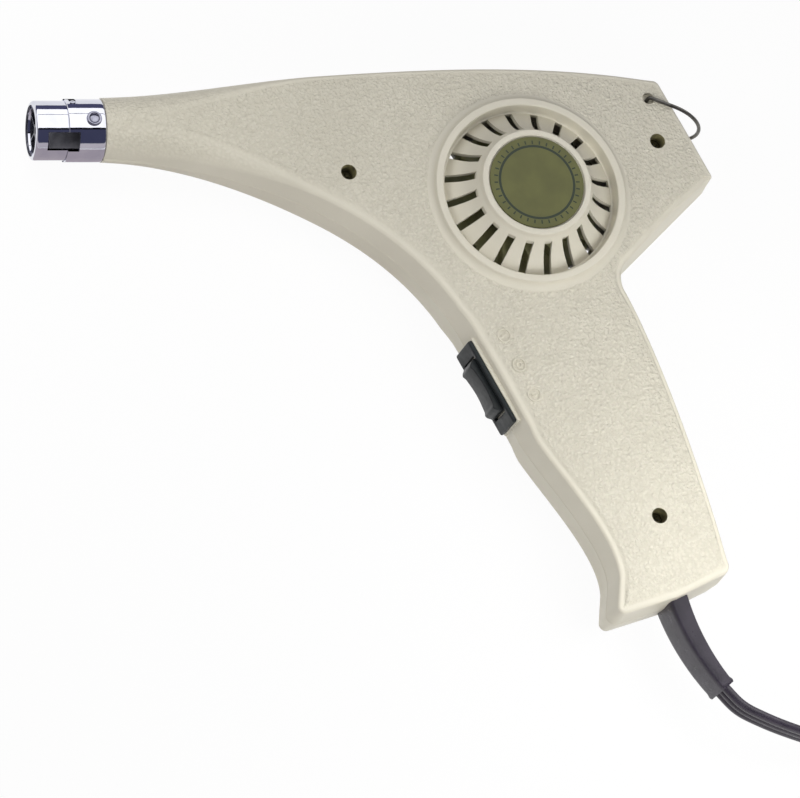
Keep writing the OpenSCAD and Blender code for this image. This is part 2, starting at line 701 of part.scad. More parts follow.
// Rectifier in the right-hand boss
board_z = -boss_in_z + 0.3;
module rectifier_board() {
    color("#7a6a3c") at_fan(board_z) cylinder(r = boss_in_r - seat_gap, h = 1.6);
}
module rectifier_diodes() {
    color("#2b2b2c") at_fan(board_z + 1.65 + 1.4) for (i = [-1.5:1:1.5])
        translate([-2.6, i * 5, 0]) rotate([0, 90, 0]) cylinder(r = 1.4, h = 5.2);
}

// Rocker switch, in a frame whose -Y side faces out of the handle
body_depth = 17;
pocket_depth = 11;
terminal_w = 4.8;
terminal_t = 0.8;
terminal_in = 2;
terminal_l = 9.5;
terminal_gap = 9;
rocker_axis_y = 3;
module switch_body() {
    pocket_l = rocker_l + 2 * move_gap;
    pocket_w = rocker_w + 2 * move_gap;
    color("#2d2c2f") at_switch() difference() {
        union() {
            translate([-bezel_l / 2, -bezel_h, -bezel_w / 2]) cube([bezel_l, bezel_h, bezel_w]);
            translate([-switch_cut_l / 2, -eps, -switch_cut_w / 2])
                cube([switch_cut_l, body_depth, switch_cut_w]);
        }
        translate([-pocket_l / 2, -bezel_h - 1, -pocket_w / 2])
            cube([pocket_l, bezel_h + 1 + pocket_depth, pocket_w]);
        translate([0, rocker_axis_y, -switch_cut_w / 2 - 1]) cylinder(r = pin_r + run_gap, h = switch_cut_w + 2);
        at_terminals() translate([-terminal_w / 2 - run_gap, 0, -terminal_t / 2 - run_gap])
            cube([terminal_w + 2 * run_gap, terminal_in + 1, terminal_t + 2 * run_gap]);
    }
}
pin_r = 1.2;
rocker_ridge = 2.1;
module switch_rocker() {
    l = rocker_l;
    top = -bezel_h - rocker_ridge;
    color("#38373a") at_switch() difference() {
        translate([0, 0, -rocker_w / 2]) linear_extrude(rocker_w) polygon([
            [-l / 2 + 0.5, 0.6], [-l / 2 + 0.4, -bezel_h], [-l / 2 + 0.6, top], [-l / 2 + 2.6, top - 0.5],
            [-l / 2 + 4, top + 0.3], [l / 2 - 4, top + 0.3], [l / 2 - 2.6, top - 0.5], [l / 2 - 0.6, top],
            [l / 2 - 0.4, -bezel_h], [l / 2 - 0.5, 0.6], [3.2, 5.6], [-3.2, 5.6]]);
        translate([0, rocker_axis_y, -20]) cylinder(r = pin_r + run_gap, h = 40);
    }
}
module switch_pivot() {
    color("#c4c6c9") at_switch()
        translate([0, rocker_axis_y, -switch_cut_w / 2]) cylinder(r = pin_r, h = switch_cut_w);
}
module at_terminals() {
    for (i = [-1:1]) translate([i * terminal_gap, body_depth - terminal_in, 0]) children();
}
module switch_terminals() {
    color("#b59a55") at_switch() at_terminals()
        translate([-terminal_w / 2, 0, -terminal_t / 2]) cube([terminal_w, terminal_l, terminal_t]);
}

// Strain relief: a rubber boot with a flange inside the wall, bending towards the rear
function relief_path(t) =
    let (p0 = relief_base, p3 = p0 + relief_l * unit(relief_dir0 + relief_dir1))
    bezier([p0, p0 + relief_dir0 * relief_l / 3, p3 - relief_dir1 * relief_l / 3, p3], t);
function rounded_box(w, h, r) = [
    for (q = [[1, 1], [-1, 1], [-1, -1], [1, -1]]) for (a = (q[0] == q[1] ? [0, 1, 2] : [2, 1, 0]))
        [q[0] * (w / 2 - r + r * cos(45 * a)), q[1] * (h / 2 - r + r * sin(45 * a))]];
// Sweeps a section of [across, height] points along a path of [point, heading, width, height] stations
module ribbon(stations, r) {
    shape = rounded_box(1, 1, 0.2);
    m = len(shape);
    n = len(stations);
    points = [for (s = stations) let (side = left_of(unit([s[1][0], s[1][1]])), box = rounded_box(s[2], s[3], r))
        for (q = box) [s[0][0] + side[0] * q[0], s[0][1] + side[1] * q[0], s[0][2] + q[1]]];
    faces = concat(
        [[for (j = [0:m - 1]) j]],
        [for (i = [0:n - 2]) for (j = [0:m - 1]) let (k = (j + 1) % m)
            [i * m + j, (i + 1) * m + j, (i + 1) * m + k, i * m + k]],
        [[for (j = [m - 1:-1:0]) (n - 1) * m + j]]);
    polyhedron(points, faces, convexity = 6);
}
module strain_relief() {
    steps = 9;
    stations = [for (i = [0:steps]) let (t = i / steps, e = 0.001, p = relief_path(t),
            d = relief_path(min(1, t + e)) - relief_path(max(0, t - e)))
        [[p[0], p[1], 0], d, mix(relief_w0, relief_w1, t), mix(relief_h0, relief_h1, t)]];
    color("#3a383d") {
        ribbon(stations, 1.5);
        at_relief() {
            translate([-relief_w0 / 2, -eps, -relief_h0 / 2])
                cube([relief_w0, flange_gap + flange_t, relief_h0]);
            translate([-relief_w0 / 2 - flange_out, flange_gap, -relief_h0 / 2 - flange_out / 2])
                cube([relief_w0 + 2 * flange_out, flange_t, relief_h0 + flange_out]);
        }
    }
}

// Cord: a flat three-core lead that lies on the bench on its edge, coiled beyond the handle, with its plug
floor_z = -boss_z;
cord_z = floor_z + cord_w / 2;
coil_c = [322, -163];
coil_out = 54.4;
coil_pitch = 3.4;
coil_end = 317.3;
tail_r = 13;
wraps = 5 + (coil_end + 90) / 360;
coil_in = coil_out - wraps * coil_pitch;
tip = relief_path(1);
lead_route = [[tip[0], tip[1], 0], [219.5, -204.6, -0.3], [227.5, -208.8, -1.2], [237, -212, -3.6],
    [248, -214.4, -7.6], [260, -216, -12], [272, -217, -15.3], [284, -217.4, cord_z], [300, -217.4, cord_z],
    [314, -217.4, cord_z]];
function headings(route) = [for (i = [0:len(route) - 1])
    route[min(i + 1, len(route) - 1)] - route[max(i - 1, 0)]];
module cord_lead() {
    dirs = headings(lead_route);
    color("#3b3540") ribbon([for (i = [0:len(lead_route) - 1])
        [lead_route[i], i == 0 ? [relief_dir1[0], relief_dir1[1], 0] : dirs[i], cord_t, cord_w]], 1);
}
module cord_coil() {
    color("#3b3540") translate([coil_c[0], coil_c[1], floor_z])
        rotate_extrude($fn = 96) translate([coil_in - cord_t / 2, 0])
            square([coil_out - coil_in + cord_t, cord_w]);
}
tail_dist = coil_in - tail_r;
tail_c = coil_c + tail_dist * [cos(coil_end), sin(coil_end)];
tail_steps = 8;
function tail_point(i) = let (a = mix(coil_end - 360, 90, i / tail_steps))
    [tail_c[0] + tail_r * cos(a), tail_c[1] + tail_r * sin(a), cord_z];
module cord_tail() {
    color("#3b3540") ribbon([for (i = [0:tail_steps]) let (a = mix(coil_end - 360, 90, i / tail_steps))
        [tail_point(i), [-sin(a), cos(a), 0], cord_t, cord_w]], 1);
}
plug_l = 24;
plug_w = 24;
plug_h = 19;
boot_l = 6;
module at_plug() {
    translate([tail_c[0], tail_c[1] + tail_r, floor_z]) rotate([0, 0, 180]) children();
}
module plug_body() {
    color("#312c35") at_plug() {
        translate([0, -3.4, 0]) cube([boot_l + 1, 6.8, cord_w + 2]);
        translate([boot_l, 0, 0]) linear_extrude(plug_h) polygon([[0, -plug_w / 2 + 4], [3, -plug_w / 2],
            [plug_l - boot_l, -plug_w / 2], [plug_l - boot_l, plug_w / 2], [3, plug_w / 2], [0, plug_w / 2 - 4]]);
    }
}
module plug_pins() {
    color("#c9b26a") at_plug() translate([plug_l, 0, plug_h / 2]) {
        for (s = [-1, 1]) translate([0, s * 6.35 - 0.75, -3.15 + 2]) cube([16, 1.5, 6.3]);
        translate([0, 0, -5]) rotate([0, 90, 0]) cylinder(r = 2.4, h = 17.5);
    }
}

left_shell();
right_shell();
label_disc();
housing_screws();
hang_bail();
nozzle_sleeve();
nozzle_collar();
collar_rivets();
nozzle_spider();
heater_tube();
mica_liner();
heater_core();
heating_coil();
heater_end_plate();
thermal_cutout();
impeller();
motor_shaft();
armature_core();
armature_winding();
commutator();
motor_can();
motor_magnets();
motor_end_cap();
motor_brushes();
motor_bushes();
motor_mount_ring();
rectifier_board();
rectifier_diodes();
switch_body();
switch_rocker();
switch_pivot();
switch_terminals();
strain_relief();
cord_clamp();
clamp_screws();
cord_lead();
cord_coil();
cord_tail();
plug_body();
plug_pins();
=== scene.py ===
"""Looks of an embossing heat tool: a pebbled cream housing with a plated nozzle, a round blower
inlet, a rocker switch, a wire bail and a flat cord.

Sizes are in millimetres in the part's own frame, and turn to metres where a mesh is made.
"""

import logging
import math
from dataclasses import dataclass, field
from enum import Enum
from functools import cache
from typing import Callable, Mapping, Sequence

import bmesh
import bpy
import numpy as np
from mathutils import Matrix, Vector
from mathutils.geometry import delaunay_2d_cdt


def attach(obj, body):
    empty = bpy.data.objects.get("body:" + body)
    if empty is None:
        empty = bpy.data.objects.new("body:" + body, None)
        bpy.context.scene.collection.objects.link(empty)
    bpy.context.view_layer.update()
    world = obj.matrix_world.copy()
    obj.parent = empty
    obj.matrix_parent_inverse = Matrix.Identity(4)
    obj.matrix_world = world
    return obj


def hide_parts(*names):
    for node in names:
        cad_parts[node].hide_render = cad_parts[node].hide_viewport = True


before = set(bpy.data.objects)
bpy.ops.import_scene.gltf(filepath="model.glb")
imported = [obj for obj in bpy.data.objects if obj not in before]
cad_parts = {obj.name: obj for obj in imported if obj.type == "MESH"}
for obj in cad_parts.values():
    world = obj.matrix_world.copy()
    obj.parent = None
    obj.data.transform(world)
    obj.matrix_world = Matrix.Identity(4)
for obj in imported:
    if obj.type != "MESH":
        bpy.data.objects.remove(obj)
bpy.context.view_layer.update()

LOG = logging.getLogger("heat_tool")
MM = 0.001
Array = np.ndarray
NodeTree = bpy.types.NodeTree
Socket = bpy.types.NodeSocket
UP = np.array([0.0, 0.0, 1.0])
SIDE = np.array([0.0, 1.0, 0.0])


class Body(str, Enum):
    """The bodies that pieces ride on."""

    HOUSING = "housing"
    ROCKER = "rocker"
    BAIL = "bail"
    SLEEVE = "sleeve"


# Surfaces


@dataclass
class Surface:
    """A mesh as arrays: points in millimetres, quads and triangles, and how pebbled each point is."""

    points: Array
    quads: Array = field(default_factory=lambda: np.zeros((0, 4), int))
    tris: Array = field(default_factory=lambda: np.zeros((0, 3), int))
    grain: Array | None = None

    def __post_init__(self) -> None:
        """Points with no grain of their own are smooth."""
        if self.grain is None:
            self.grain = np.zeros(len(self.points))

    def moved(self, turn: Array | None = None, shift: Sequence[float] = (0, 0, 0)) -> "Surface":
        """A copy turned by a 3 x 3 matrix and then shifted.

        Args:
            turn: the matrix, or None to leave it unturned.
            shift: how far it goes along each axis.

        Returns:
            The new surface.
        """
        points = self.points if turn is None else self.points @ np.asarray(turn, float).T
        return Surface(points + np.asarray(shift, float), self.quads, self.tris, self.grain)

    def welded(self, step: float = 1e-3) -> "Surface":
        """The same surface with points closer than a step made one, and faces that close up taken out.

        Args:
            step: the size of the grid that points are rounded to.

        Returns:
            The welded surface.
        """
        _, first, back = np.unique(np.round(self.points / step).astype(np.int64), axis=0, return_index=True,
                                   return_inverse=True)
        back = back.reshape(-1)
        quads, tris = back[self.quads], back[self.tris]
        nexts = np.roll(quads, -1, axis=1)
        same = quads == nexts
        shut = same.sum(axis=1)
        thirds = quads[shut == 1][~same[shut == 1]].reshape(-1, 3)
        tris = np.vstack([tris, thirds])
        good = (tris[:, 0] != tris[:, 1]) & (tris[:, 1] != tris[:, 2]) & (tris[:, 2] != tris[:, 0])
        grain = np.zeros(len(first))
        np.maximum.at(grain, back, self.grain)
        return Surface(self.points[first], quads[shut == 0], tris[good], grain)


def joined(parts: Sequence[Surface]) -> Surface:
    """One surface out of several, with their points numbered on.

    Args:
        parts: the surfaces.

    Returns:
        The joined surface.
    """
    starts = np.cumsum([0] + [len(p.points) for p in parts[:-1]])
    return Surface(
        np.vstack([p.points for p in parts]),
        np.vstack([p.quads + s for p, s in zip(parts, starts)]),
        np.vstack([p.tris + s for p, s in zip(parts, starts)]),
        np.concatenate([p.grain for p in parts]))


def grid(points: Array, closed: bool = False, keep: Array | None = None,
         grain: Array | None = None) -> Surface:
    """A surface of two parameters: quads between neighbouring rows and columns of a table of points.

    Args:
        points: the table, rows x columns x 3.
        closed: the last column joins the first.
        keep: a table of which quads stay, or None for all.
        grain: a table of how pebbled each point is.

    Returns:
        The surface.
    """
    nu, nv = points.shape[:2]
    number = np.arange(nu * nv).reshape(nu, nv)
    if closed:
        number = np.hstack([number, number[:, :1]])
    quads = np.stack([number[:-1, :-1], number[:-1, 1:], number[1:, 1:], number[1:, :-1]], axis=-1)
    if keep is not None:
        quads = quads[keep]
    if grain is not None:
        grain = grain.reshape(-1)
    return Surface(points.reshape(-1, 3), quads.reshape(-1, 4), grain=grain)


def fan(loop: Array) -> Surface:
    """Triangles from the mean of a closed loop's points to each of its sides.

    Args:
        loop: the loop's points.

    Returns:
        The cap.
    """
    n = len(loop)
    turn = np.arange(n)
    tris = np.stack([turn, (turn + 1) % n, np.full(n, n)], axis=1)
    return Surface(np.vstack([loop, loop.mean(axis=0)]), tris=tris)


def capped(table: Array) -> Surface:
    """A closed tube of loops, with a flat cap at each end."""
    return joined([grid(table, closed=True), fan(table[0]), fan(table[-1])])


def turn_z(way: Sequence[float]) -> Array:
    """The matrix that turns X about Z to a flat direction of length one."""
    return np.array([[way[0], -way[1], 0], [way[1], way[0], 0], [0, 0, 1]])


def left_of(way: Array) -> Array:
    """Flat directions turned left by a right angle, with a Z of zero."""
    return np.column_stack([-way[:, 1], way[:, 0], np.zeros(len(way))])


def cubic(p: Sequence[Sequence[float]], steps: Array) -> tuple[Array, Array]:
    """A cubic Bezier curve: (1-t)^3 a + 3 (1-t)^2 t b + 3 (1-t) t^2 c + t^3 d.

    Args:
        p: its four points.
        steps: the parameters.

    Returns:
        The points, and the headings there.
    """
    a, b, c, d = (np.asarray(x, float) for x in p)
    t = np.asarray(steps, float)[:, None]
    points = (1 - t) ** 3 * a + 3 * (1 - t) ** 2 * t * b + 3 * (1 - t) * t * t * c + t ** 3 * d
    heading = 3 * (1 - t) ** 2 * (b - a) + 6 * (1 - t) * t * (c - b) + 3 * t * t * (d - c)
    return points, heading


def revolve(profile: Array, steps: int = 96) -> Surface:
    """A profile of radius and height turned about Z: (r cos a, r sin a, z).

    Args:
        profile: the profile's points.
        steps: how many columns a full turn has.

    Returns:
        The turned surface.
    """
    angle = np.arange(steps) * 2 * math.pi / steps
    r, z = profile[:, 0][:, None], profile[:, 1][:, None]
    table = np.stack([r * np.cos(angle), r * np.sin(angle), z + 0 * angle], axis=-1)
    return grid(table, closed=True)


def sweep(path: Array, across: Array, up: Array, section: Array, scale: Array | None = None) -> Surface:
    """A closed section carried along a path, with flat caps: p + s * (x * across + y * up).

    Args:
        path: the path's points, N x 3.
        across: the section's first direction, at each point or for all.
        up: the section's second direction, at each point or for all.
        section: the section's points, M x 2 or N x M x 2.
        scale: the section's size at each point, N x 2, or None for 1.

    Returns:
        The swept surface.
    """
    shape = np.broadcast_to(section, (len(path),) + section.shape[-2:]).astype(float).copy()
    if scale is not None:
        shape *= scale[:, None, :]
    across, up = (np.broadcast_to(v, path.shape)[:, None, :] for v in (across, up))
    return capped(path[:, None, :] + shape[..., :1] * across + shape[..., 1:] * up)


def arc(centre: Sequence[float], r: float, start: float, end: float, steps: int) -> Array:
    """Points of a flat arc: centre + r (cos a, sin a), with angles in degrees."""
    a = np.radians(np.linspace(start, end, steps + 1))
    return np.asarray(centre, float) + r * np.stack([np.cos(a), np.sin(a)], axis=1)


def rounded_box(w: float, h: float, r: float, steps: int = 4) -> Array:
    """A rectangle with round corners, w wide and h high, as a closed run of points.

    Args:
        w: its width.
        h: its height.
        r: the corners' radius.
        steps: the steps in each corner.

    Returns:
        The points.
    """
    cx, cy = w / 2 - r, h / 2 - r
    return np.vstack([arc((cx, cy), r, 0, 90, steps), arc((-cx, cy), r, 90, 180, steps),
                      arc((-cx, -cy), r, 180, 270, steps), arc((cx, -cy), r, 270, 360, steps)])


def inside(points: Array, loop: Array) -> Array:
    """Which points lie inside a closed loop: a ray to the right crosses its sides an odd number of times.

    Args:
        points: the points, N x 2.
        loop: the loop, M x 2.

    Returns:
        True for each point inside.
    """
    a, b = loop, np.roll(loop, -1, axis=0)
    x, y = points[:, :1], points[:, 1:2]
    crosses = (a[:, 1] > y) != (b[:, 1] > y)
    with np.errstate(divide="ignore", invalid="ignore"):
        at = a[:, 0] + (y - a[:, 1]) * (b[:, 0] - a[:, 0]) / (b[:, 1] - a[:, 1])
    return (crosses & (x < at)).sum(axis=1) % 2 == 1


def plate(outline: Array, holes: Sequence[Array], height: Callable[[Array], Array],
          extra: Array | None = None, grain: float = 0.0) -> Surface:
    """Triangles between an outline and its holes, seen from above, each point at height(x, y).

    Args:
        outline: the outer loop, N x 2.
        holes: the inner loops.
        height: gives the z of an array of points.
        extra: more points inside, or None.
        grain: how pebbled the plate is.

    Returns:
        The plate.
    """
    loops = [outline, *holes]
    starts = np.cumsum([0] + [len(x) for x in loops])
    sides = [(int(s + i), int(s + (i + 1) % len(x))) for s, x in zip(starts, loops) for i in range(len(x))]
    points = np.vstack(loops + ([extra] if extra is not None and len(extra) else []))
    found, _, faces, *_ = delaunay_2d_cdt([Vector(p) for p in points], sides, [], 0, 1e-7)
    xy = np.array([tuple(p) for p in found])
    tris = np.array([f for f in faces if len(f) == 3])
    middle = xy[tris].mean(axis=1)
    good = inside(middle, outline)
    for hole in holes:
        good &= ~inside(middle, hole)
    return Surface(np.column_stack([xy, height(xy)]), tris=tris[good], grain=np.full(len(xy), grain))


def piece(name: str, surface: Surface, finish: "Finish", body: Body,
          stands_for: Sequence[str] = (), sharp: float = 32) -> bpy.types.Object:
    """Makes an object of a surface, at the origin with its faces outwards, and hands it to a body.

    Args:
        name: the object's name.
        surface: its shape.
        finish: its finish.
        body: what it moves with.
        stands_for: the nodes that it replaces.
        sharp: edges with a larger angle than this, in degrees, stay crisp.

    Returns:
        The object.
    """
    shape = surface.welded()
    mesh = bpy.data.meshes.new(name)
    corners = np.concatenate([shape.quads.reshape(-1), shape.tris.reshape(-1)])
    sizes = np.concatenate([np.full(len(shape.quads), 4), np.full(len(shape.tris), 3)])
    mesh.vertices.add(len(shape.points))
    mesh.vertices.foreach_set("co", (shape.points * MM).astype(np.float32).reshape(-1))
    mesh.loops.add(len(corners))
    mesh.loops.foreach_set("vertex_index", corners.astype(np.int32))
    mesh.polygons.add(len(sizes))
    mesh.polygons.foreach_set("loop_start", np.concatenate([[0], np.cumsum(sizes)[:-1]]).astype(np.int32))
    mesh.update(calc_edges=True)
    mesh.validate()
    mesh.attributes.new("grain", "FLOAT", "POINT").data.foreach_set("value", shape.grain.astype(np.float32))
    work = bmesh.new()
    work.from_mesh(mesh)
    bmesh.ops.recalc_face_normals(work, faces=work.faces)
    work.to_mesh(mesh)
    work.free()
    mesh.shade_smooth()
    mesh.set_sharp_from_angle(angle=math.radians(sharp))
    mesh.materials.append(finish.build())
    made = bpy.data.objects.new(name, mesh)
    bpy.context.scene.collection.objects.link(made)
    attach(made, body.value)
    if stands_for:
        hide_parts(*stands_for)
    LOG.info("%s: %d faces", name, len(sizes))
    return made


# Finishes


def linear(code: str) -> tuple[float, float, float, float]:
    """The linear colour, with alpha 1, of an sRGB hex code.

    Args:
        code: the code, such as #d8d3c0.

    Returns:
        Red, green, blue and alpha.
    """
    part = np.array([int(code[i:i + 2], 16) for i in (1, 3, 5)]) / 255
    value = np.where(part <= 0.04045, part / 12.92, ((part + 0.055) / 1.055) ** 2.4)
    return (*(float(v) for v in value), 1.0)


def add_node(tree: NodeTree, kind: str, settings: Mapping[str, object] | None = None,
             inputs: Mapping[str | int, object] | None = None) -> bpy.types.Node:
    """Adds a shader node, gives it its settings and fills its inputs.

    Args:
        tree: the node tree.
        kind: the node's type, without the ShaderNode in front.
        settings: values by property name.
        inputs: by input name or number, a socket to link or a value.

    Returns:
        The node.
    """
    node = tree.nodes.new("ShaderNode" + kind)
    for name, value in (settings or {}).items():
        setattr(node, name, value)
    for name, value in (inputs or {}).items():
        if isinstance(value, Socket):
            tree.links.new(value, node.inputs[name])
        else:
            node.inputs[name].default_value = value
    return node


def maths(tree: NodeTree, operation: str, *values: object) -> Socket:
    """The result of a maths node on sockets or numbers."""
    return add_node(tree, "Math", {"operation": operation}, dict(enumerate(values))).outputs[0]


def vector_maths(tree: NodeTree, operation: str, *values: object) -> bpy.types.Node:
    """A vector maths node on sockets or vectors."""
    return add_node(tree, "VectorMath", {"operation": operation}, dict(enumerate(values)))


def mixed(tree: NodeTree, share: Socket, under: object, over: object) -> Socket:
    """One colour laid over another by a share, each a socket or a colour."""
    return add_node(tree, "Mix", {"data_type": "RGBA"}, {"Factor": share, 6: under, 7: over}).outputs[2]


def ranged(tree: NodeTree, value: Socket, start: float, end: float, low: float, high: float) -> Socket:
    """A value that runs from low to high while its source runs from start to end."""
    limits = {"From Min": start, "From Max": end, "To Min": low, "To Max": high}
    return add_node(tree, "MapRange", inputs={"Value": value, **limits}).outputs["Result"]


def bump(tree: NodeTree, surface: bpy.types.Node, height: Socket, strength: float, depth: float) -> None:
    """Gives a shader a bump whose full height is a depth in millimetres."""
    node = add_node(tree, "Bump", inputs={"Strength": strength, "Distance": depth * MM, "Height": height})
    tree.links.new(node.outputs["Normal"], surface.inputs["Normal"])


def emptied_material(name: str) -> bpy.types.Material:
    """A new material whose node tree is empty.

    Args:
        name: the material's name.

    Returns:
        The material.
    """
    material = bpy.data.materials.new(name)
    material.use_nodes = True
    material.node_tree.nodes.clear()
    return material


@dataclass(frozen=True)
class Finish:
    """A surface with a base colour that clouds slightly, and a fine bump.

    Scales are in millimetres: cloud is the size of the colour's patches and bump_size that of the bumps.
    """

    name: str
    colour: str
    roughness: float = 0.5
    metallic: float = 0.0
    ior: float = 1.5
    cloud_colour: str = ""
    cloud: float = 12.0
    bump_size: float = 0.8
    bump_depth: float = 0.0
    roughness_spread: float = 0.0
    cloud_span: tuple[float, float] = (0.38, 0.66)
    roughness_span: tuple[float, float] = (0.3, 0.7)

    def shader(self, tree: NodeTree) -> bpy.types.Node:
        """The Principled shader with its output.

        Args:
            tree: the node tree.

        Returns:
            The shader.
        """
        surface = add_node(tree, "BsdfPrincipled",
                           inputs={"Base Color": linear(self.colour), "Roughness": self.roughness,
                                   "Metallic": self.metallic, "IOR": self.ior})
        add_node(tree, "OutputMaterial", inputs={"Surface": surface.outputs["BSDF"]})
        return surface

    def noise(self, tree: NodeTree, size: float, detail: float = 3.0) -> bpy.types.Node:
        """Noise on the object's own coordinates.

        Args:
            tree: the node tree.
            size: the size of its patches in millimetres.
            detail: how many finer octaves it has.

        Returns:
            The noise node.
        """
        place = add_node(tree, "TexCoord").outputs["Object"]
        return add_node(tree, "TexNoise",
                        inputs={"Scale": 1 / (size * MM), "Detail": detail, "Vector": place})

    def cloud_over(self, tree: NodeTree, surface: bpy.types.Node) -> None:
        """Mixes the base colour with the cloud colour in soft patches.

        Args:
            tree: the node tree.
            surface: the Principled shader.
        """
        share = ranged(tree, self.noise(tree, self.cloud).outputs["Fac"], *self.cloud_span, 0.0, 1.0)
        colour = mixed(tree, share, linear(self.colour), linear(self.cloud_colour))
        tree.links.new(colour, surface.inputs["Base Color"])

    def roughen(self, tree: NodeTree, surface: bpy.types.Node) -> None:
        """Varies the roughness a little, as handling and moulding do.

        Args:
            tree: the node tree.
            surface: the Principled shader.
        """
        noise = self.noise(tree, self.cloud / 3).outputs["Fac"]
        low, high = self.roughness - self.roughness_spread, self.roughness + self.roughness_spread
        tree.links.new(ranged(tree, noise, *self.roughness_span, low, high), surface.inputs["Roughness"])

    def emboss(self, tree: NodeTree, surface: bpy.types.Node) -> None:
        """Adds the fine bump."""
        bump(tree, surface, self.noise(tree, self.bump_size, 2.0).outputs["Fac"], 1.0, self.bump_depth)

    @cache
    def build(self) -> bpy.types.Material:
        """Makes the material, once.

        Returns:
            The material.
        """
        material = emptied_material(self.name)
        tree = material.node_tree
        surface = self.shader(tree)
        if self.cloud_colour:
            self.cloud_over(tree, surface)
        if self.roughness_spread:
            self.roughen(tree, surface)
        if self.bump_depth:
            self.emboss(tree, surface)
        material.diffuse_color = linear(self.colour)
        return material


@dataclass(frozen=True)
class PebbledAbs(Finish):
    """Moulded ABS with a spark-eroded leather grain, which breaks its sheen into small soft lights.

    The grain shows where the mesh says so, and the low places between its pebbles carry a painted shade.
    Elsewhere the mould is smooth.
    """

    grain_size: float = 1.2
    grain_depth: float = 0.45
    grain_bend: float = 0.6
    # A painted shade: the colour that the low places between the pebbles darken towards, and how far.
    valley_shade_colour: str = "#bbb5a1"
    valley_shade_share: float = 0.3
    valley_shade_span: tuple[float, float] = (0.32, 0.62)
    strength: float = 0.9

    def emboss(self, tree: NodeTree, surface: bpy.types.Node) -> None:
        """Pebbles: a finer noise less the distance in rounded, bent cells, scaled by the mesh's grain, with a
        painted shade between them.

        Args:
            tree: the node tree.
            surface: the Principled shader.
        """
        place = add_node(tree, "TexCoord").outputs["Object"]
        bend = self.noise(tree, self.grain_size * 1.4, 2.0).outputs["Color"]
        bent = vector_maths(tree, "MULTIPLY_ADD", bend, (self.grain_bend * MM,) * 3, place).outputs[0]
        cells = add_node(tree, "TexVoronoi", {"feature": "SMOOTH_F1"},
                         {"Vector": bent, "Scale": 1 / (self.grain_size * MM), "Smoothness": 0.25})
        far = cells.outputs["Distance"]
        fine = self.noise(tree, self.grain_size * 0.55, 2.0).outputs["Fac"]
        shown = add_node(tree, "Attribute", {"attribute_name": "grain"}).outputs["Fac"]
        height = maths(tree, "MULTIPLY", maths(tree, "SUBTRACT", fine, far), shown)
        bump(tree, surface, height, self.strength, self.grain_depth)
        # Painted shade: the colour darkens where the cells' distance is large, between the pebbles.
        under = surface.inputs["Base Color"].links[0].from_socket
        valley_shade = ranged(tree, far, *self.valley_shade_span, 0.0, self.valley_shade_share)
        share = maths(tree, "MULTIPLY", valley_shade, shown)
        colour = mixed(tree, share, under, linear(self.valley_shade_colour))
        tree.links.new(colour, surface.inputs["Base Color"])


@dataclass(frozen=True)
class SpunDisc(Finish):
    """Anodised aluminium, brushed in circles about a centre, with a printed ring and ticks."""

    centre: tuple[float, float] = (164.5, -27.0)
    ink: str = "#1f2a1b"
    ring_r: float = 12.9
    ring_w: float = 0.85
    tick_in: float = 13.6
    tick_out: float = 14.9
    tick_share: float = 0.3
    ticks: int = 36
    brush_size: float = 0.35
    brush_depth: float = 0.03
    strength: float = 0.35

    @cache
    def build(self) -> bpy.types.Material:
        """Makes the material: the ring is a band of the radius, and the ticks are one of the angle's sine.

        Returns:
            The material.
        """
        material = super().build()
        tree = material.node_tree
        surface = next(n for n in tree.nodes if n.type == "BSDF_PRINCIPLED")
        place = add_node(tree, "TexCoord").outputs["Object"]
        middle = (self.centre[0] * MM, self.centre[1] * MM, 0)
        moved = vector_maths(tree, "SUBTRACT", place, middle).outputs[0]
        axes = add_node(tree, "SeparateXYZ", inputs={0: moved}).outputs
        flat = add_node(tree, "CombineXYZ", inputs={0: axes[0], 1: axes[1]}).outputs[0]
        radius = vector_maths(tree, "LENGTH", flat).outputs["Value"]
        ring = maths(tree, "COMPARE", radius, self.ring_r * MM, self.ring_w / 2 * MM)
        band = maths(tree, "COMPARE", radius, (self.tick_in + self.tick_out) / 2 * MM,
                     (self.tick_out - self.tick_in) / 2 * MM)
        turns = maths(tree, "MULTIPLY", maths(tree, "ARCTAN2", axes[1], axes[0]), self.ticks / 2)
        thin = maths(tree, "COMPARE", maths(tree, "SINE", turns), 0.0, self.tick_share)
        printed = maths(tree, "MAXIMUM", ring, maths(tree, "MULTIPLY", band, thin))
        under = surface.inputs["Base Color"].links[0].from_socket
        tree.links.new(mixed(tree, printed, under, linear(self.ink)), surface.inputs["Base Color"])
        scaled = add_node(tree, "CombineXYZ", inputs={0: radius}).outputs[0]
        brushed = add_node(tree, "TexNoise", inputs={"Scale": 1 / (self.brush_size * MM), "Detail": 4.0,
                                                     "Vector": scaled})
        bump(tree, surface, brushed.outputs["Fac"], self.strength, self.brush_depth)
        return material


# Each finish has a comment on what it gives the eye.

# The housing is warm cream, its soft sheen breaks up on the pebbles, and a painted shade darkens the low
# places between them.
CREAM = PebbledAbs("pebbled_cream_abs", "#d6d1bf", 0.46, cloud_colour="#d1ccba", cloud=30,
                   roughness_spread=0.05, bump_depth=0.1)
# The screw holes' walls are painted a matt olive brown: painted shade for the deep, dim holes.
SHADED_BORE = Finish("bore_painted_shade", "#8f8860", 0.6, cloud_colour="#575340", cloud=2)
# The label is a dull olive green with a faint spun sheen.
LABEL = SpunDisc("olive_anodised_disc", "#5b5c2f", 0.45, 0.2, cloud_colour="#52532a", cloud=9)
# The sleeve and the collar mirror the room in sharp bands that waver a little.
PLATED = Finish("bright_chrome_plate", "#dcdde6", 0.05, 1.0, cloud_colour="#cfd0dc", cloud=7,
                bump_size=3.2, bump_depth=0.02, roughness_spread=0.02)
# Bare sheet steel is grey, with blurred reflections.
SHEET_STEEL = Finish("plain_sheet_steel", "#8f9196", 0.34, 1.0, cloud_colour="#7c7d83", cloud=8,
                     bump_size=0.5, bump_depth=0.01, roughness_spread=0.08)
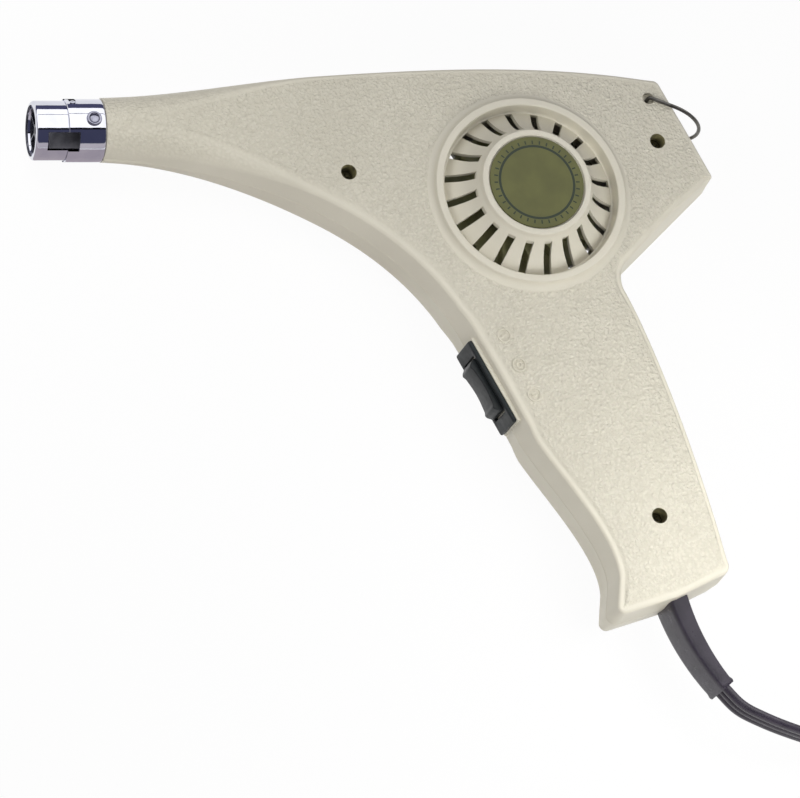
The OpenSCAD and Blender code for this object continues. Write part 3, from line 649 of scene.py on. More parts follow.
# Small zinc-plated parts are bright and slightly blue.
ZINC = Finish("zinc_plated_screw", "#c3c6cc", 0.22, 1.0, cloud_colour="#a9acb3", cloud=1.5,
              roughness_spread=0.06)
# The bail is dark wire with a thin bright line along it.
SPRING_WIRE = Finish("oiled_spring_wire", "#6d6b66", 0.34, 0.9, cloud_colour="#4d4b47", cloud=2.5,
                     bump_size=0.6, bump_depth=0.02, roughness_spread=0.08)
# Mica is grey and glossy, in small flakes.
MICA = Finish("mica_sheet", "#94949a", 0.3, cloud_colour="#7b7b82", cloud=2.5, bump_size=0.4,
              bump_depth=0.02)
# Fired heating wire is brownish grey and hardly shines.
NICHROME = Finish("oxidised_nichrome", "#7c7468", 0.5, 0.8, cloud_colour="#5a5249", cloud=1.2)
# Steatite is chalky and off-white.
FIRED_CLAY = Finish("fired_steatite", "#c9c4b8", 0.55, cloud_colour="#b5afa2", cloud=1.5)
# The blower wheel is painted a pale olive, lighter than it would look in the dim inside: painted light behind
# the slots.
FAN_NYLON_PAINTED_LIGHT = Finish("fan_nylon_painted_light", "#b4b384", 0.5, cloud_colour="#a5a476", cloud=4)
# The housing screws are a dark olive brown: painted shade for their deep holes over the metal's own tint,
# with a glint in the hole.
SHADED_SCREW = Finish("screw_steel_painted_shade", "#5a5640", 0.3, 0.9, cloud_colour="#454230", cloud=1.5,
                    roughness_spread=0.06)
# The eyelets are a shade darker than the chrome round them, and less sharp.
EYELET = Finish("nickel_eyelet", "#a6a6b4", 0.12, 1.0, cloud_colour="#8f8f9e", cloud=1.5,
                roughness_spread=0.03)
# The cord clamp and the diodes are near black and silky.
DARK_NYLON = Finish("dark_nylon", "#34352f", 0.5, cloud_colour="#2a2b26", cloud=4, bump_size=0.5,
                    bump_depth=0.02)
# The commutator has the red shine of bare copper.
COPPER = Finish("drawn_copper", "#b87333", 0.3, 1.0, cloud_colour="#9a5c26", cloud=1.2)
# The winding is a darker, glossy copper under its enamel.
ENAMEL_WIRE = Finish("enamelled_copper_wire", "#9c4f28", 0.25, 0.5, cloud_colour="#7d3d1d", cloud=0.8)
# Magnets and brushes are charcoal and matt.
FERRITE = Finish("sintered_ferrite", "#3b3b3c", 0.7, cloud_colour="#303031", cloud=1)
# The bushes are a dull gold.
BRONZE = Finish("sintered_bronze", "#a98850", 0.45, 1.0, cloud_colour="#8f7040", cloud=0.8)
# The motor's end cap is creamy white and satin.
WHITE_CAP = Finish("white_nylon", "#e2ddce", 0.45, cloud_colour="#d8d2c1", cloud=4)
# The motor's ring is soft black without a sheen.
BLACK_RUBBER = Finish("black_rubber", "#2d2c2e", 0.7, cloud_colour="#252426", cloud=2)
# The rectifier board is the brown of pressed paper.
PAPER_BOARD = Finish("phenolic_board", "#8a7038", 0.5, cloud_colour="#75602f", cloud=2)
# The bezel is a cool black with a weak, soft sheen.
SWITCH_NYLON = Finish("switch_nylon", "#262a2b", 0.42, ior=1.3, cloud_colour="#212526", cloud=6,
                      bump_size=0.45, bump_depth=0.012, roughness_spread=0.06)
# The rocker is a little darker and glossier than its bezel, as fingers leave it.
ROCKER_NYLON = Finish("rocker_nylon", "#232728", 0.36, ior=1.33, cloud_colour="#1f2223", cloud=5,
                      bump_size=0.45, bump_depth=0.01, roughness_spread=0.06)
# The plug's blades and the terminals are pale gold and fairly sharp.
BRASS = Finish("tinned_brass", "#cdb877", 0.28, 1.0, cloud_colour="#b7a063", cloud=2,
               roughness_spread=0.06)
# The cord is a dark grey violet whose cores each carry a line of light.
CORD_PVC = Finish("grey_cord_pvc", "#342e39", 0.3, ior=1.6, cloud_colour="#2d2832", cloud=9, bump_size=0.6,
                  bump_depth=0.02, roughness_spread=0.06)
# The boot is the same violet, a shade lighter and softer.
BOOT_PVC = Finish("boot_pvc", "#37323c", 0.32, ior=1.42, cloud_colour="#2e2a33", cloud=8, bump_size=0.7,
                  bump_depth=0.03, roughness_spread=0.06)


# Housing


@dataclass(frozen=True)
class Plan:
    """The sizes that the housing's pieces share."""

    tool_l: float = 230.6
    tool_drop: float = 174.5
    barrel_r: float = 10.8
    half_t: float = 11.0
    wall: float = 2.2
    edge_r: float = 1.2
    panel_h: float = 0.8
    slab_start: float = 6.0
    slab_l: float = 68.0
    swell_l: float = 26.0
    barrel_round: float = 0.93
    fan: tuple[float, float] = (164.5, -27.0)
    nozzle_l: float = 22.4
    switch: tuple[float, float] = (145.7, -91.9)
    switch_way: tuple[float, float] = (0.403, -0.915)
    switch_flat: float = 20.0
    screw_hole_r: float = 2.7
    screws: tuple[tuple[float, float], ...] = ((102.5, -19.6), (212.4, -8.6), (195.7, -141.5))
    bail: tuple[float, float] = (211.1, 7.0)

    @property
    def panel_z(self) -> float:
        """Height of the side panel above the parting plane."""
        return self.half_t + self.panel_h


PLAN = Plan()


def ease(t: Array) -> Array:
    """A smooth rise from 0 to 1: t squared times (3 - 2t), held at its ends."""
    t = np.clip(t, 0, 1)
    return t * t * (3 - 2 * t)


def unit(v: Array) -> Array:
    """Vectors of length one."""
    return v / np.linalg.norm(v, axis=-1, keepdims=True)


Style = tuple[float, float, float]
RUN_FIELDS = ("corner", "mitre", "normal", "radius", "sign", "style")


@dataclass
class Outline:
    """A run of outline vertices: each has a corner, a mitre, a normal, a radius, a sign and a style.

    The style is the border's width, the share of the panel's step and the lean of the wall.
    """

    corner: Array
    mitre: Array
    normal: Array
    radius: Array
    sign: Array
    style: Array

    @staticmethod
    def of(corner: Array, mitre: Array, normal: Array, radius: float, sign: float, style: Style) -> "Outline":
        """A run whose vertices share their radius, sign and style.

        Args:
            corner: the corner of each vertex.
            mitre: how far the corner moves for each mm of depth.
            normal: the way inwards at each vertex.
            radius: the corner's radius.
            sign: 1 where the corner is round outwards, and -1 inwards.
            style: the style.

        Returns:
            The run.
        """
        n = len(corner)
        return Outline(corner, mitre, normal, np.full(n, radius), np.full(n, sign),
                       np.tile(np.asarray(style, float), (n, 1)))

    @staticmethod
    def along(points: Array, heading: Array, side: int, style: Style) -> "Outline":
        """A smooth run: the mitre is the heading turned inwards by a right angle.

        Args:
            points: the points.
            heading: the way on at each point.
            side: 1 for a run whose inside is on its right, and -1 on its left.
            style: the style.

        Returns:
            The run.
        """
        h = unit(heading)
        inwards = np.stack([h[:, 1], -h[:, 0]], axis=1) * side
        return Outline.of(points, inwards, inwards, 0, 1, style)

    @staticmethod
    def bezier(p: Sequence[Sequence[float]], steps: Array, side: int, style: Style) -> "Outline":
        """A run on a cubic Bezier curve at the given parameters."""
        return Outline.along(*cubic(p, steps), side, style)

    @staticmethod
    def line(a: Array, b: Array, steps: Sequence[float], side: int, style: Style) -> "Outline":
        """A run on a straight line.

        Args:
            a: the start.
            b: the end.
            steps: the parameters, 0 at the start and 1 at the end.
            side: as for along.
            style: the style.

        Returns:
            The run.
        """
        t = np.asarray(steps, float)[:, None]
        a, b = np.asarray(a, float), np.asarray(b, float)
        return Outline.along(a + (b - a) * t, np.repeat((b - a)[None], len(t), axis=0), side, style)

    @staticmethod
    def rounded(before: Array, at: Array, after: Array, r: float, steps: int, side: int,
                style: Style) -> "Outline":
        """A run round a corner: its normals turn from one side's to the other's about one mitre.

        Args:
            before: a point on the line to the corner.
            at: the corner.
            after: a point on the line from it.
            r: the corner's radius.
            steps: the steps round it.
            side: as for along.
            style: the style.

        Returns:
            The run.
        """
        before, at, after = (np.asarray(x, float) for x in (before, at, after))
        h1, h2 = unit(at - before), unit(after - at)
        n1 = np.array([h1[1], -h1[0]]) * side
        n2 = np.array([h2[1], -h2[0]]) * side
        mitre = (n1 + n2) / (1 + n1 @ n2)
        bend = h1[0] * h2[1] - h1[1] * h2[0]
        t = np.linspace(0, 1, steps + 1)[:, None]
        normals = unit(n1 * (1 - t) + n2 * t)
        n = steps + 1
        return Outline.of(np.repeat(at[None], n, axis=0), np.repeat(mitre[None], n, axis=0), normals, r,
                          1 if bend * side < 0 else -1, style)

    @staticmethod
    def chain(runs: Sequence["Outline"]) -> "Outline":
        """Several runs one after the other."""
        return Outline(*(np.concatenate([getattr(r, k) for r in runs]) for k in RUN_FIELDS))

    def reversed(self) -> "Outline":
        """The same run from its end to its start."""
        return Outline(*(getattr(self, k)[::-1] for k in RUN_FIELDS))

    def inset(self, depth: Array) -> Array:
        """The points that lie depth inside the outline: corner + depth * mitre, with corner arcs kept round.

        Args:
            depth: the depth at each vertex, N or N x P.

        Returns:
            The points, N x 2 or N x P x 2.
        """
        d = np.asarray(depth, float)
        many = d.ndim == 2
        d = d if many else d[:, None]
        r = np.maximum(self.radius[:, None] - self.sign[:, None] * d, 0.15) * (self.radius > 0)[:, None]
        points = (self.corner[:, None] + d[..., None] * self.mitre[:, None]
                  + (self.sign[:, None] * r)[..., None] * (self.mitre - self.normal)[:, None])
        return points if many else points[:, 0]


@dataclass
class Housing:
    """The two moulded halves, with their blower inlets, screw posts and switch marks."""

    plan: Plan = PLAN
    inlet_r: float = 30.4
    rim_w: float = 2.7
    rim_h: float = 2.7
    channel_d: float = 4.5
    boss_r: float = 19.0
    boss_h: float = 6.7
    slot_n: int = 20
    slot_w: float = 2.7
    slot_turn: float = -2.0
    disc_r: float = 16.3
    disc_t: float = 0.6
    seam: float = 0.22
    bail_hole_r: float = 2.1
    bail_post_r: float = 3.6
    bail_floor: float = 9.8
    bail_bore_r: float = 0.75
    post_wall: float = 1.7
    post_floor: float = 5.0
    post_foot: float = 0.3
    screw_r: float = 1.65
    slot_end: float = 1.3
    pad: tuple[float, float] = (32.0, 15.9)
    mark_spots: tuple[tuple[float, float], ...] = ((149.5, -77.9), (153.5, -88.3), (157.5, -98.7))
    mark_h: float = 0.42
    mark_ring_r: float = 2.2
    mark_line: float = 0.5
    mark_bar_l: float = 2.1
    mark_bar_gap: float = 0.5
    mark_dot_r: float = 0.85
    swell_span: tuple[tuple[float, float], ...] = ((26.0, 110.0), (-26.0, 18.0))
    swell_step: float = 2.5
    swell_clear: tuple[float, float] = (1.2, 4.0)

    def ring(self) -> Outline:
        """The outline from the barrel's upper mouth round the handle to its lower mouth.

        Returns:
            The whole outline.
        """
        p = self.plan
        rear_top = np.array([p.tool_l - 15.2, p.barrel_r + 3])
        rear_low = np.array([p.tool_l + 0.8, -22.2])
        crotch = np.array([p.tool_l - 37.9, -56.6])
        heel = np.array([p.tool_l - 11.2, -p.tool_drop + 13.3])
        toe = np.array([p.tool_l - 54.5, -p.tool_drop - 1.5])
        way = np.array(p.switch_way)
        flat_start, flat_end = (np.array(p.switch) + k * p.switch_flat * way for k in (-1, 1))
        top = [[p.nozzle_l, p.barrel_r], [p.nozzle_l + 66, p.barrel_r + 2],
               rear_top + [-64, 10.2], rear_top + [-3, 0.3]]
        back = [crotch + [2.6, -6.2], crotch + [12.6, -33.0], heel + [-6.7, 38.9], heel + [-1.2, 4.6]]
        middle = (heel + toe) / 2 + [1.7, -1.0]
        front = [[p.nozzle_l, -p.barrel_r], [p.nozzle_l + 47, -p.barrel_r - 2.2], flat_start + [-18.8, 40.6],
                 flat_start]
        grip = [flat_end, flat_end + [4.6, -11.8], [toe[0] + 4.0, -p.tool_drop + 27.5], toe + [2.6, 13.9]]
        plain, rear, low, back_way = (0.0, 0.0, 0.2), (0.3, 0.2, 0.5), (1.1, 1.0, 2.2), (0.6, 1.0, 0.4)
        front_way, switch_way, grip_way = (2.0, 1.0, 0.5), (2.3, 1.0, 1.8), (1.6, 1.0, 0.6)
        foot = (1.5, 1.0, 0.6)
        rise = np.linspace(0, 1, 21)
        upper = Outline.chain([
            Outline.bezier(top, np.linspace(0, 1, 121)[:-1], 1, plain),
            Outline.rounded(np.array(top[2]) + [22, -4], rear_top, rear_low, 3, 10, 1, plain),
            Outline.line(rear_top, rear_low, rise[2:-2], 1, plain),
            Outline.rounded(rear_top, rear_low, crotch, 2.4, 10, 1, rear),
            Outline.line(rear_low, crotch, rise[2:-4], 1, low),
            Outline.rounded(rear_low, crotch, back[0], 8, 10, 1, (1.3, 1.0, 0.8)),
            Outline.bezier(back, np.linspace(0, 1, 61), 1, back_way),
            Outline.rounded(back[3], heel, middle, 4, 10, 1, foot),
            Outline.line(heel, middle, np.linspace(0.3, 1, 8), 1, foot)])
        lower = Outline.chain([
            Outline.bezier(front, np.linspace(0, 1, 141)[:-1], -1, front_way),
            Outline.line(flat_start, flat_end, np.linspace(0, 1, 11), -1, switch_way),
            Outline.bezier(grip, np.linspace(0, 1, 61)[1:], -1, grip_way),
            Outline.rounded(grip[3], toe, middle, 3, 10, -1, foot),
            Outline.line(toe, middle, np.linspace(0.3, 0.94, 7), -1, foot)])
        whole = Outline.chain([upper, lower.reversed()])
        padded = np.pad(whole.style, ((6, 6), (0, 0)), mode="edge")
        whole.style = np.stack([np.convolve(v, np.full(13, 1 / 13), mode="valid") for v in padded.T], axis=1)
        return whole

    def slab_share(self, x: Array) -> Array:
        """How far the section has gone from the round barrel, 0, to the slab, 1."""
        start = self.plan.nozzle_l + self.plan.slab_start
        return ease((x - start) / self.plan.slab_l)

    def section(self, x: Array) -> tuple[Array, Array]:
        """The half thickness and the edge radius of the section at x.

        Args:
            x: places along the tool.

        Returns:
            Half thicknesses and edge radii.
        """
        p = self.plan
        h = p.barrel_r + (p.half_t - p.barrel_r) * ease((x - p.nozzle_l) / p.swell_l)
        barrel_edge = p.barrel_r * p.barrel_round
        r = barrel_edge + (p.edge_r - barrel_edge) * self.slab_share(x)
        return h, r

    def panel_height(self, xy: Array) -> Array:
        """The height of the side panel at points."""
        return self.section(xy[:, 0])[0] + self.plan.panel_h * self.slab_share(xy[:, 0])

    def inner_height(self, xy: Array) -> Array:
        """The height of the panel's inner face at points."""
        return self.section(xy[:, 0])[0] - self.plan.wall

    def profiles(self, ring: Outline, inner: bool) -> tuple[Array, Array, Array]:
        """The depth, height and grain of the wall's profile at each vertex.

        The outer profile has a fine groove at the parting plane, a wall that leans in, a quarter round,
        the flat border and a soft step up to the panel. The inner one lies the wall's thickness inside.

        Args:
            ring: the outline.
            inner: whether it is the inner face.

        Returns:
            Depths, heights and grains, each N x P.
        """
        p = self.plan
        x = ring.corner[:, 0]
        share = self.slab_share(x)[:, None]
        h, r = (v[:, None] for v in self.section(x))
        thick = p.wall if inner else 0.0
        h, r = h - thick, np.maximum(r - thick, 0.5)
        width, stepped, lean = (v[:, None] for v in ring.style.T)
        panel = 0.0 if inner else p.panel_h
        step = panel * share * stepped
        h = h + panel * share * (1 - stepped)
        shelf = 0.1 + width * share
        turn = np.radians(np.linspace(0, 90, 11))[None]
        seam = 0.0 if inner else self.seam
        lift = np.array([[0.0, 0.35, 1.0]])
        rise = np.linspace(0, 1, 9)[None]
        cove = shelf * 0.35
        depth = np.hstack([seam * (1 - lift) + 0 * h, lean + r * (1 - np.cos(turn)),
                           lean + r + cove * np.array([[0.5, 1.0]]),
                           lean + r + cove + (0.65 * shelf + 0.2 + 0.4 * share) * rise[:, 1:]]) + thick
        height = np.hstack([seam * lift * 1.3 + 0 * h + 0.02, h - r + r * np.sin(turn), h + np.zeros((1, 2)),
                            h + step * ease(rise[:, 1:])])
        on_panel = np.hstack([np.zeros((1, 16)), rise[:, 1:]])
        on_round = np.hstack([np.zeros((1, 3)), ease(np.linspace(0, 1.6, 11))[None], np.ones((1, 10))])
        grain = on_panel * share + on_round * (1 - share) + 0 * h
        return depth, height, grain

    def inlet_profile(self) -> tuple[Array, Array]:
        """The inlet's face as radius and height, from the panel in to the centre, and the slots' ends.

        Returns:
            The face's points, N x 2, and the inner and outer radius of the slots.
        """
        p = self.plan
        rim_z = p.panel_z + self.rim_h
        channel = np.array([self.inlet_r - 1.2, rim_z - self.channel_d])
        boss_z = rim_z + self.boss_h
        top = np.array([self.boss_r + 0.3, boss_z - 1.7])
        out = self.inlet_r + self.rim_w
        t = np.linspace(0, 1, 200)[:, None]
        dish = channel * (1 - t) + top * t - 0.8 * np.sin(math.pi * t)
        ends = np.array([self.boss_r + self.slot_end, self.inlet_r - self.slot_end])
        slot_rs = np.linspace(ends[1], ends[0], 27)[:-1]
        rs = np.concatenate([channel[:1], slot_rs, np.linspace(ends[0], top[0], 4)])
        dish = np.column_stack([rs, np.interp(-rs, -dish[:, 0], dish[:, 1])])
        recess = boss_z - 0.3 - self.disc_t
        face = np.vstack([
            arc((out + self.rim_h, rim_z), self.rim_h, 270, 188, 10),
            arc((out - 0.45, rim_z - 0.45), 0.45, 10, 90, 4),
            arc((self.inlet_r + 0.5, rim_z - 0.5), 0.5, 90, 180, 5),
            [[self.inlet_r - 0.25, channel[1] + 1.6]],
            arc((channel[0], channel[1] + 0.7), 0.7, 330, 272, 4)[:-1],
            dish[:-1],
            [top], arc((self.boss_r - 0.6, boss_z - 0.6), 0.6, 8, 90, 6),
            arc((self.disc_r + 0.75, boss_z - 0.25), 0.25, 90, 180, 3),
            [[self.disc_r + 0.35, recess + 0.1], [self.disc_r + 0.2, recess]],
            [[r, recess] for r in (12.0, 7.0, 3.0, 0.0)]])
        return face, ends

    def inlet(self) -> tuple[Surface, Array]:
        """The inlet's wall with its slots, and the outer circle where it meets the panel.

        Each of the equal sectors has three columns across its slot, whose sides stay parallel, because
        their angle from the middle is asin(half width / radius), and nine across the web.

        Returns:
            The wall, and its outer circles above and below.
        """
        p = self.plan
        face, ends = self.inlet_profile()
        r = face[:, 0]
        edge = np.arcsin(self.slot_w / 2 / np.clip(r, *ends))[:, None]
        sector = 2 * math.pi / self.slot_n
        web = np.linspace(0, 1, 9)[None]
        columns = np.hstack([-edge, 0 * edge, edge + (sector - 2 * edge) * web[:, :-1]])
        middles = (np.arange(self.slot_n) + 0.5) * sector + math.radians(self.slot_turn)
        angle = (middles[None, :, None] + columns[:, None, :]).reshape(len(r), -1)
        x, y = p.fan[0] + r[:, None] * np.cos(angle), p.fan[1] + r[:, None] * np.sin(angle)
        top = np.stack([x, y, face[:, 1:] + 0 * x], axis=-1)
        low = top - [0, 0, p.wall - 0.2]
        rows = (r[:-1] <= ends[1] + 1e-6) & (r[1:] >= ends[0] - 1e-6)
        hole = np.tile(np.array([True, True] + [False] * 8), self.slot_n)
        keep = ~(rows[:, None] & hole[None])
        first, last = np.flatnonzero(rows)[0], np.flatnonzero(rows)[-1] + 1
        sides = []
        for start in range(0, angle.shape[1], columns.shape[1]):
            for column in (start, start + 2):
                sides.append(grid(np.stack([t[first:last + 1, column] for t in (top, low)], axis=1)))
            for row in (first, last):
                sides.append(grid(np.stack([t[row, start:start + 3] for t in (top, low)], axis=1)))
        parts = [grid(top, closed=True, keep=keep), grid(low, closed=True, keep=keep), *sides]
        return joined(parts), np.stack([top[0], low[0]])

    def hole_wall(self, centre: Sequence[float], r: float, z_low: float) -> tuple[Array, Surface]:
        """A round hole through the panel: its rim seen from above, and its wall down to the inner face.

        Args:
            centre: the hole's centre.
            r: its radius.
            z_low: the height of the inner face.

        Returns:
            The rim, N x 2, and the wall.
        """
        ring = arc(centre, r, 0, 360, 40)[:-1]
        table = np.stack([np.column_stack([ring, np.full(40, z)]) for z in (self.plan.panel_z, z_low)])
        return ring, grid(table, closed=True)

    def post(self, centre: Sequence[float], outer: float, hole: float, floor: float, bore: float) -> Surface:
        """A post under a hole: a tube down to the parting plane, with a floor and a bore.

        Args:
            centre: the hole's centre.
            outer: the radius of the post.
            hole: the radius above the floor.
            floor: the floor's height.
            bore: the radius below the floor.

        Returns:
            The closed surface.
        """
        top = self.plan.half_t - self.plan.wall
        foot = self.post_foot
        turned = revolve(np.array([[hole, top + 1.5], [hole, floor], [bore, floor], [bore, foot],
                                   [outer, foot], [outer, top - 0.02], [hole + 0.02, top - 0.02],
                                   [hole, top + 1.5]]), 40)
        return turned.moved(shift=(centre[0], centre[1], 0))

    def half(self, screws: bool) -> Surface:
        """One half of the housing above the parting plane.

        Args:
            screws: whether the screw holes come through its panel.

        Returns:
            The closed surface.
        """
        p = self.plan
        ring = self.ring()
        tables = []
        for inner in (False, True):
            depth, height, grain = self.profiles(ring, inner)
            xy = ring.inset(depth)
            xy[0, :, 0] = xy[-1, :, 0] = p.nozzle_l
            tables.append((np.dstack([xy, height]), grain if not inner else 0 * grain))
        (outer, grain), (hollow, _) = tables
        inner_top = p.half_t - p.wall
        inlet, circles = self.inlet()
        parts = [grid(outer, grain=grain), grid(hollow), inlet]
        parts.append(grid(np.stack([outer[:, 0], hollow[:, 0]], axis=1)))
        front = [np.vstack([t[0], t[-1][::-1]]) for t in (outer, hollow)]
        parts.append(grid(np.stack(front, axis=1)))
        parts.append(grid(np.stack([circles[1], circles[1] * [1, 1, 0] + [0, 0, inner_top]]), closed=True))
        holes = [self.hole_wall(c, p.screw_hole_r, inner_top) for c in (p.screws if screws else ())]
        holes.append(self.hole_wall(p.bail, self.bail_hole_r, inner_top))
        parts += [wall for _, wall in holes]
        loops = [circles[0][:, :2]] + [loop for loop, _ in holes]
        # More points where the barrel swells into the slab, as the panel isn't flat there.
        xs, ys = np.meshgrid(*(np.arange(*span, self.swell_step) for span in self.swell_span))
        swell = np.column_stack([xs.ravel(), ys.ravel()])
        faces = ((outer, self.panel_height, 1.0), (hollow, self.inner_height, 0.0))
        for table, height, rough in faces:
            loop = table[:, -1, :2]
            near = swell[inside(swell, loop)]
            gap = np.linalg.norm(near[:, None] - loop[None], axis=2).min(axis=1)
            clear = [np.linalg.norm(near - c, axis=1) > self.swell_clear[1] for c in p.screws]
            near = near[(gap > self.swell_clear[0]) & np.all(clear, axis=0)]
            parts.append(plate(loop, loops, height, near, rough))
        for centre in (p.screws if screws else ()):
            parts.append(self.post(centre, p.screw_hole_r + self.post_wall, p.screw_hole_r, self.post_floor,
                                   self.screw_r))
        parts.append(self.post(p.bail, self.bail_post_r, self.bail_hole_r, self.bail_floor,
                               self.bail_bore_r))
        return joined([*parts, self.switch_pad()])

    def screw_bore_shade_liners(self) -> Surface:
        """Thin liners whose dark colour is painted shade on the walls of the screw holes, from the panel down
        to the heads' seats.

        Returns:
            The closed liners.
        """
        p = self.plan
        r, top = p.screw_hole_r - 0.02, p.panel_z - 0.03
        low, bore = self.post_floor + 0.01, self.screw_r + 0.01
        wall = revolve(np.array([[r, top], [r, low], [bore, low], [bore, low + 0.03], [r - 0.04, low + 0.03],
                                 [r - 0.04, top], [r, top]]), 40)
        return joined([wall.moved(shift=(x, y, 0)) for x, y in p.screws])

    def switch_pad(self) -> Surface:
        """The half of the raised pad that the switch's bezel sits on, with softened front edges.

        Returns:
            The closed surface.
        """
        p = self.plan
        length, width = self.pad
        rows = []
        # Each row is a loop at a depth y, and the outer ones are a little smaller.
        for y, less in ((p.wall, 0.0), (0.3, 0.0), (0.1, 0.08), (0.02, 0.25)):
            x, z = length / 2 - less, width / 2 - less
            rows.append([[-x, y, 0.01], [x, y, 0.01], [x, y, z], [-x, y, z]])
        return capped(np.array(rows)).moved(turn_z(p.switch_way), (*p.switch, 0))

    def marks(self) -> Surface:
        """Raised switch marks beside the rocker: a bar, a ring and two bars, each in a thin ring.

        Returns:
            The closed surfaces.
        """
        gap = self.mark_bar_gap
        drawn = ([self.mark_bar(0.0)], [self.mark_ring(self.mark_dot_r)],
                 [self.mark_bar(-gap), self.mark_bar(gap)])
        parts = []
        for (x, y), figure in zip(self.mark_spots, drawn):
            parts += [shape.moved(shift=(x, y, 0)) for shape in (self.mark_ring(self.mark_ring_r), *figure)]
        return joined(parts)

    def mark_ring(self, r: float) -> Surface:
        """A low ring on the panel, with sloping sides.

        Args:
            r: its middle radius.

        Returns:
            The closed surface.
        """
        low, top = self.plan.panel_z - 0.1, self.plan.panel_z + self.mark_h
        out, into = r + self.mark_line / 2, r - self.mark_line / 2
        profile = [[into, low], [into + 0.08, top], [out - 0.08, top], [out, low], [into, low]]
        return revolve(np.array(profile), 48)

    def mark_bar(self, shift: float) -> Surface:
        """A low bar on the panel, across the switch's direction and shifted along it.

        Args:
            shift: how far it lies along the way.

        Returns:
            The closed surface.
        """
        way = np.array(self.plan.switch_way)
        out = rounded_box(self.mark_bar_l, self.mark_line, 0.2, 3)
        flat = out[:, :1] * left_of(way[None])[0, :2] + (out[:, 1:] + shift) * way
        low, top = self.plan.panel_z - 0.1, self.plan.panel_z + self.mark_h
        levels = [np.column_stack([flat * k, np.full(len(flat), z)]) for k, z in ((1.0, low), (0.96, top))]
        return joined([grid(np.stack(levels), closed=True), fan(levels[1]), fan(levels[0])])

    def label(self) -> Surface:
        """The label disc: a flat face with a tiny round at its rim.

        Returns:
            The closed surface.
        """
        p = self.plan
        top = p.panel_z + self.rim_h + self.boss_h - 0.3
        low = top - self.disc_t
        r = self.disc_r
        turned = revolve(np.vstack([[[0, low], [r, low]], arc((r - 0.15, top - 0.15), 0.15, 0, 90, 3),
                                    [[r * k, top] for k in (0.8, 0.6, 0.4, 0.2, 0.0)]]), 160)
        return turned.moved(shift=(*p.fan, 0))

    def build(self) -> None:
        """Makes both halves, the marks, the painted shade liners of the screw holes and the label."""
        piece("housing_left_half", self.half(True), CREAM, Body.HOUSING, ["left_shell"])
        flipped = self.half(False).moved(np.diag([1, 1, -1]))
        piece("housing_right_half", flipped, CREAM, Body.HOUSING, ["right_shell"])
        piece("switch_marks", self.marks(), CREAM, Body.HOUSING)
        # The screw holes' liners are dark as painted shade.
        piece("screw_bore_shade_liners", self.screw_bore_shade_liners(), SHADED_BORE, Body.HOUSING)
        piece("inlet_label", self.label(), LABEL, Body.HOUSING, ["label_disc"])


# Nozzle


Cut = tuple[float, float, float, float]


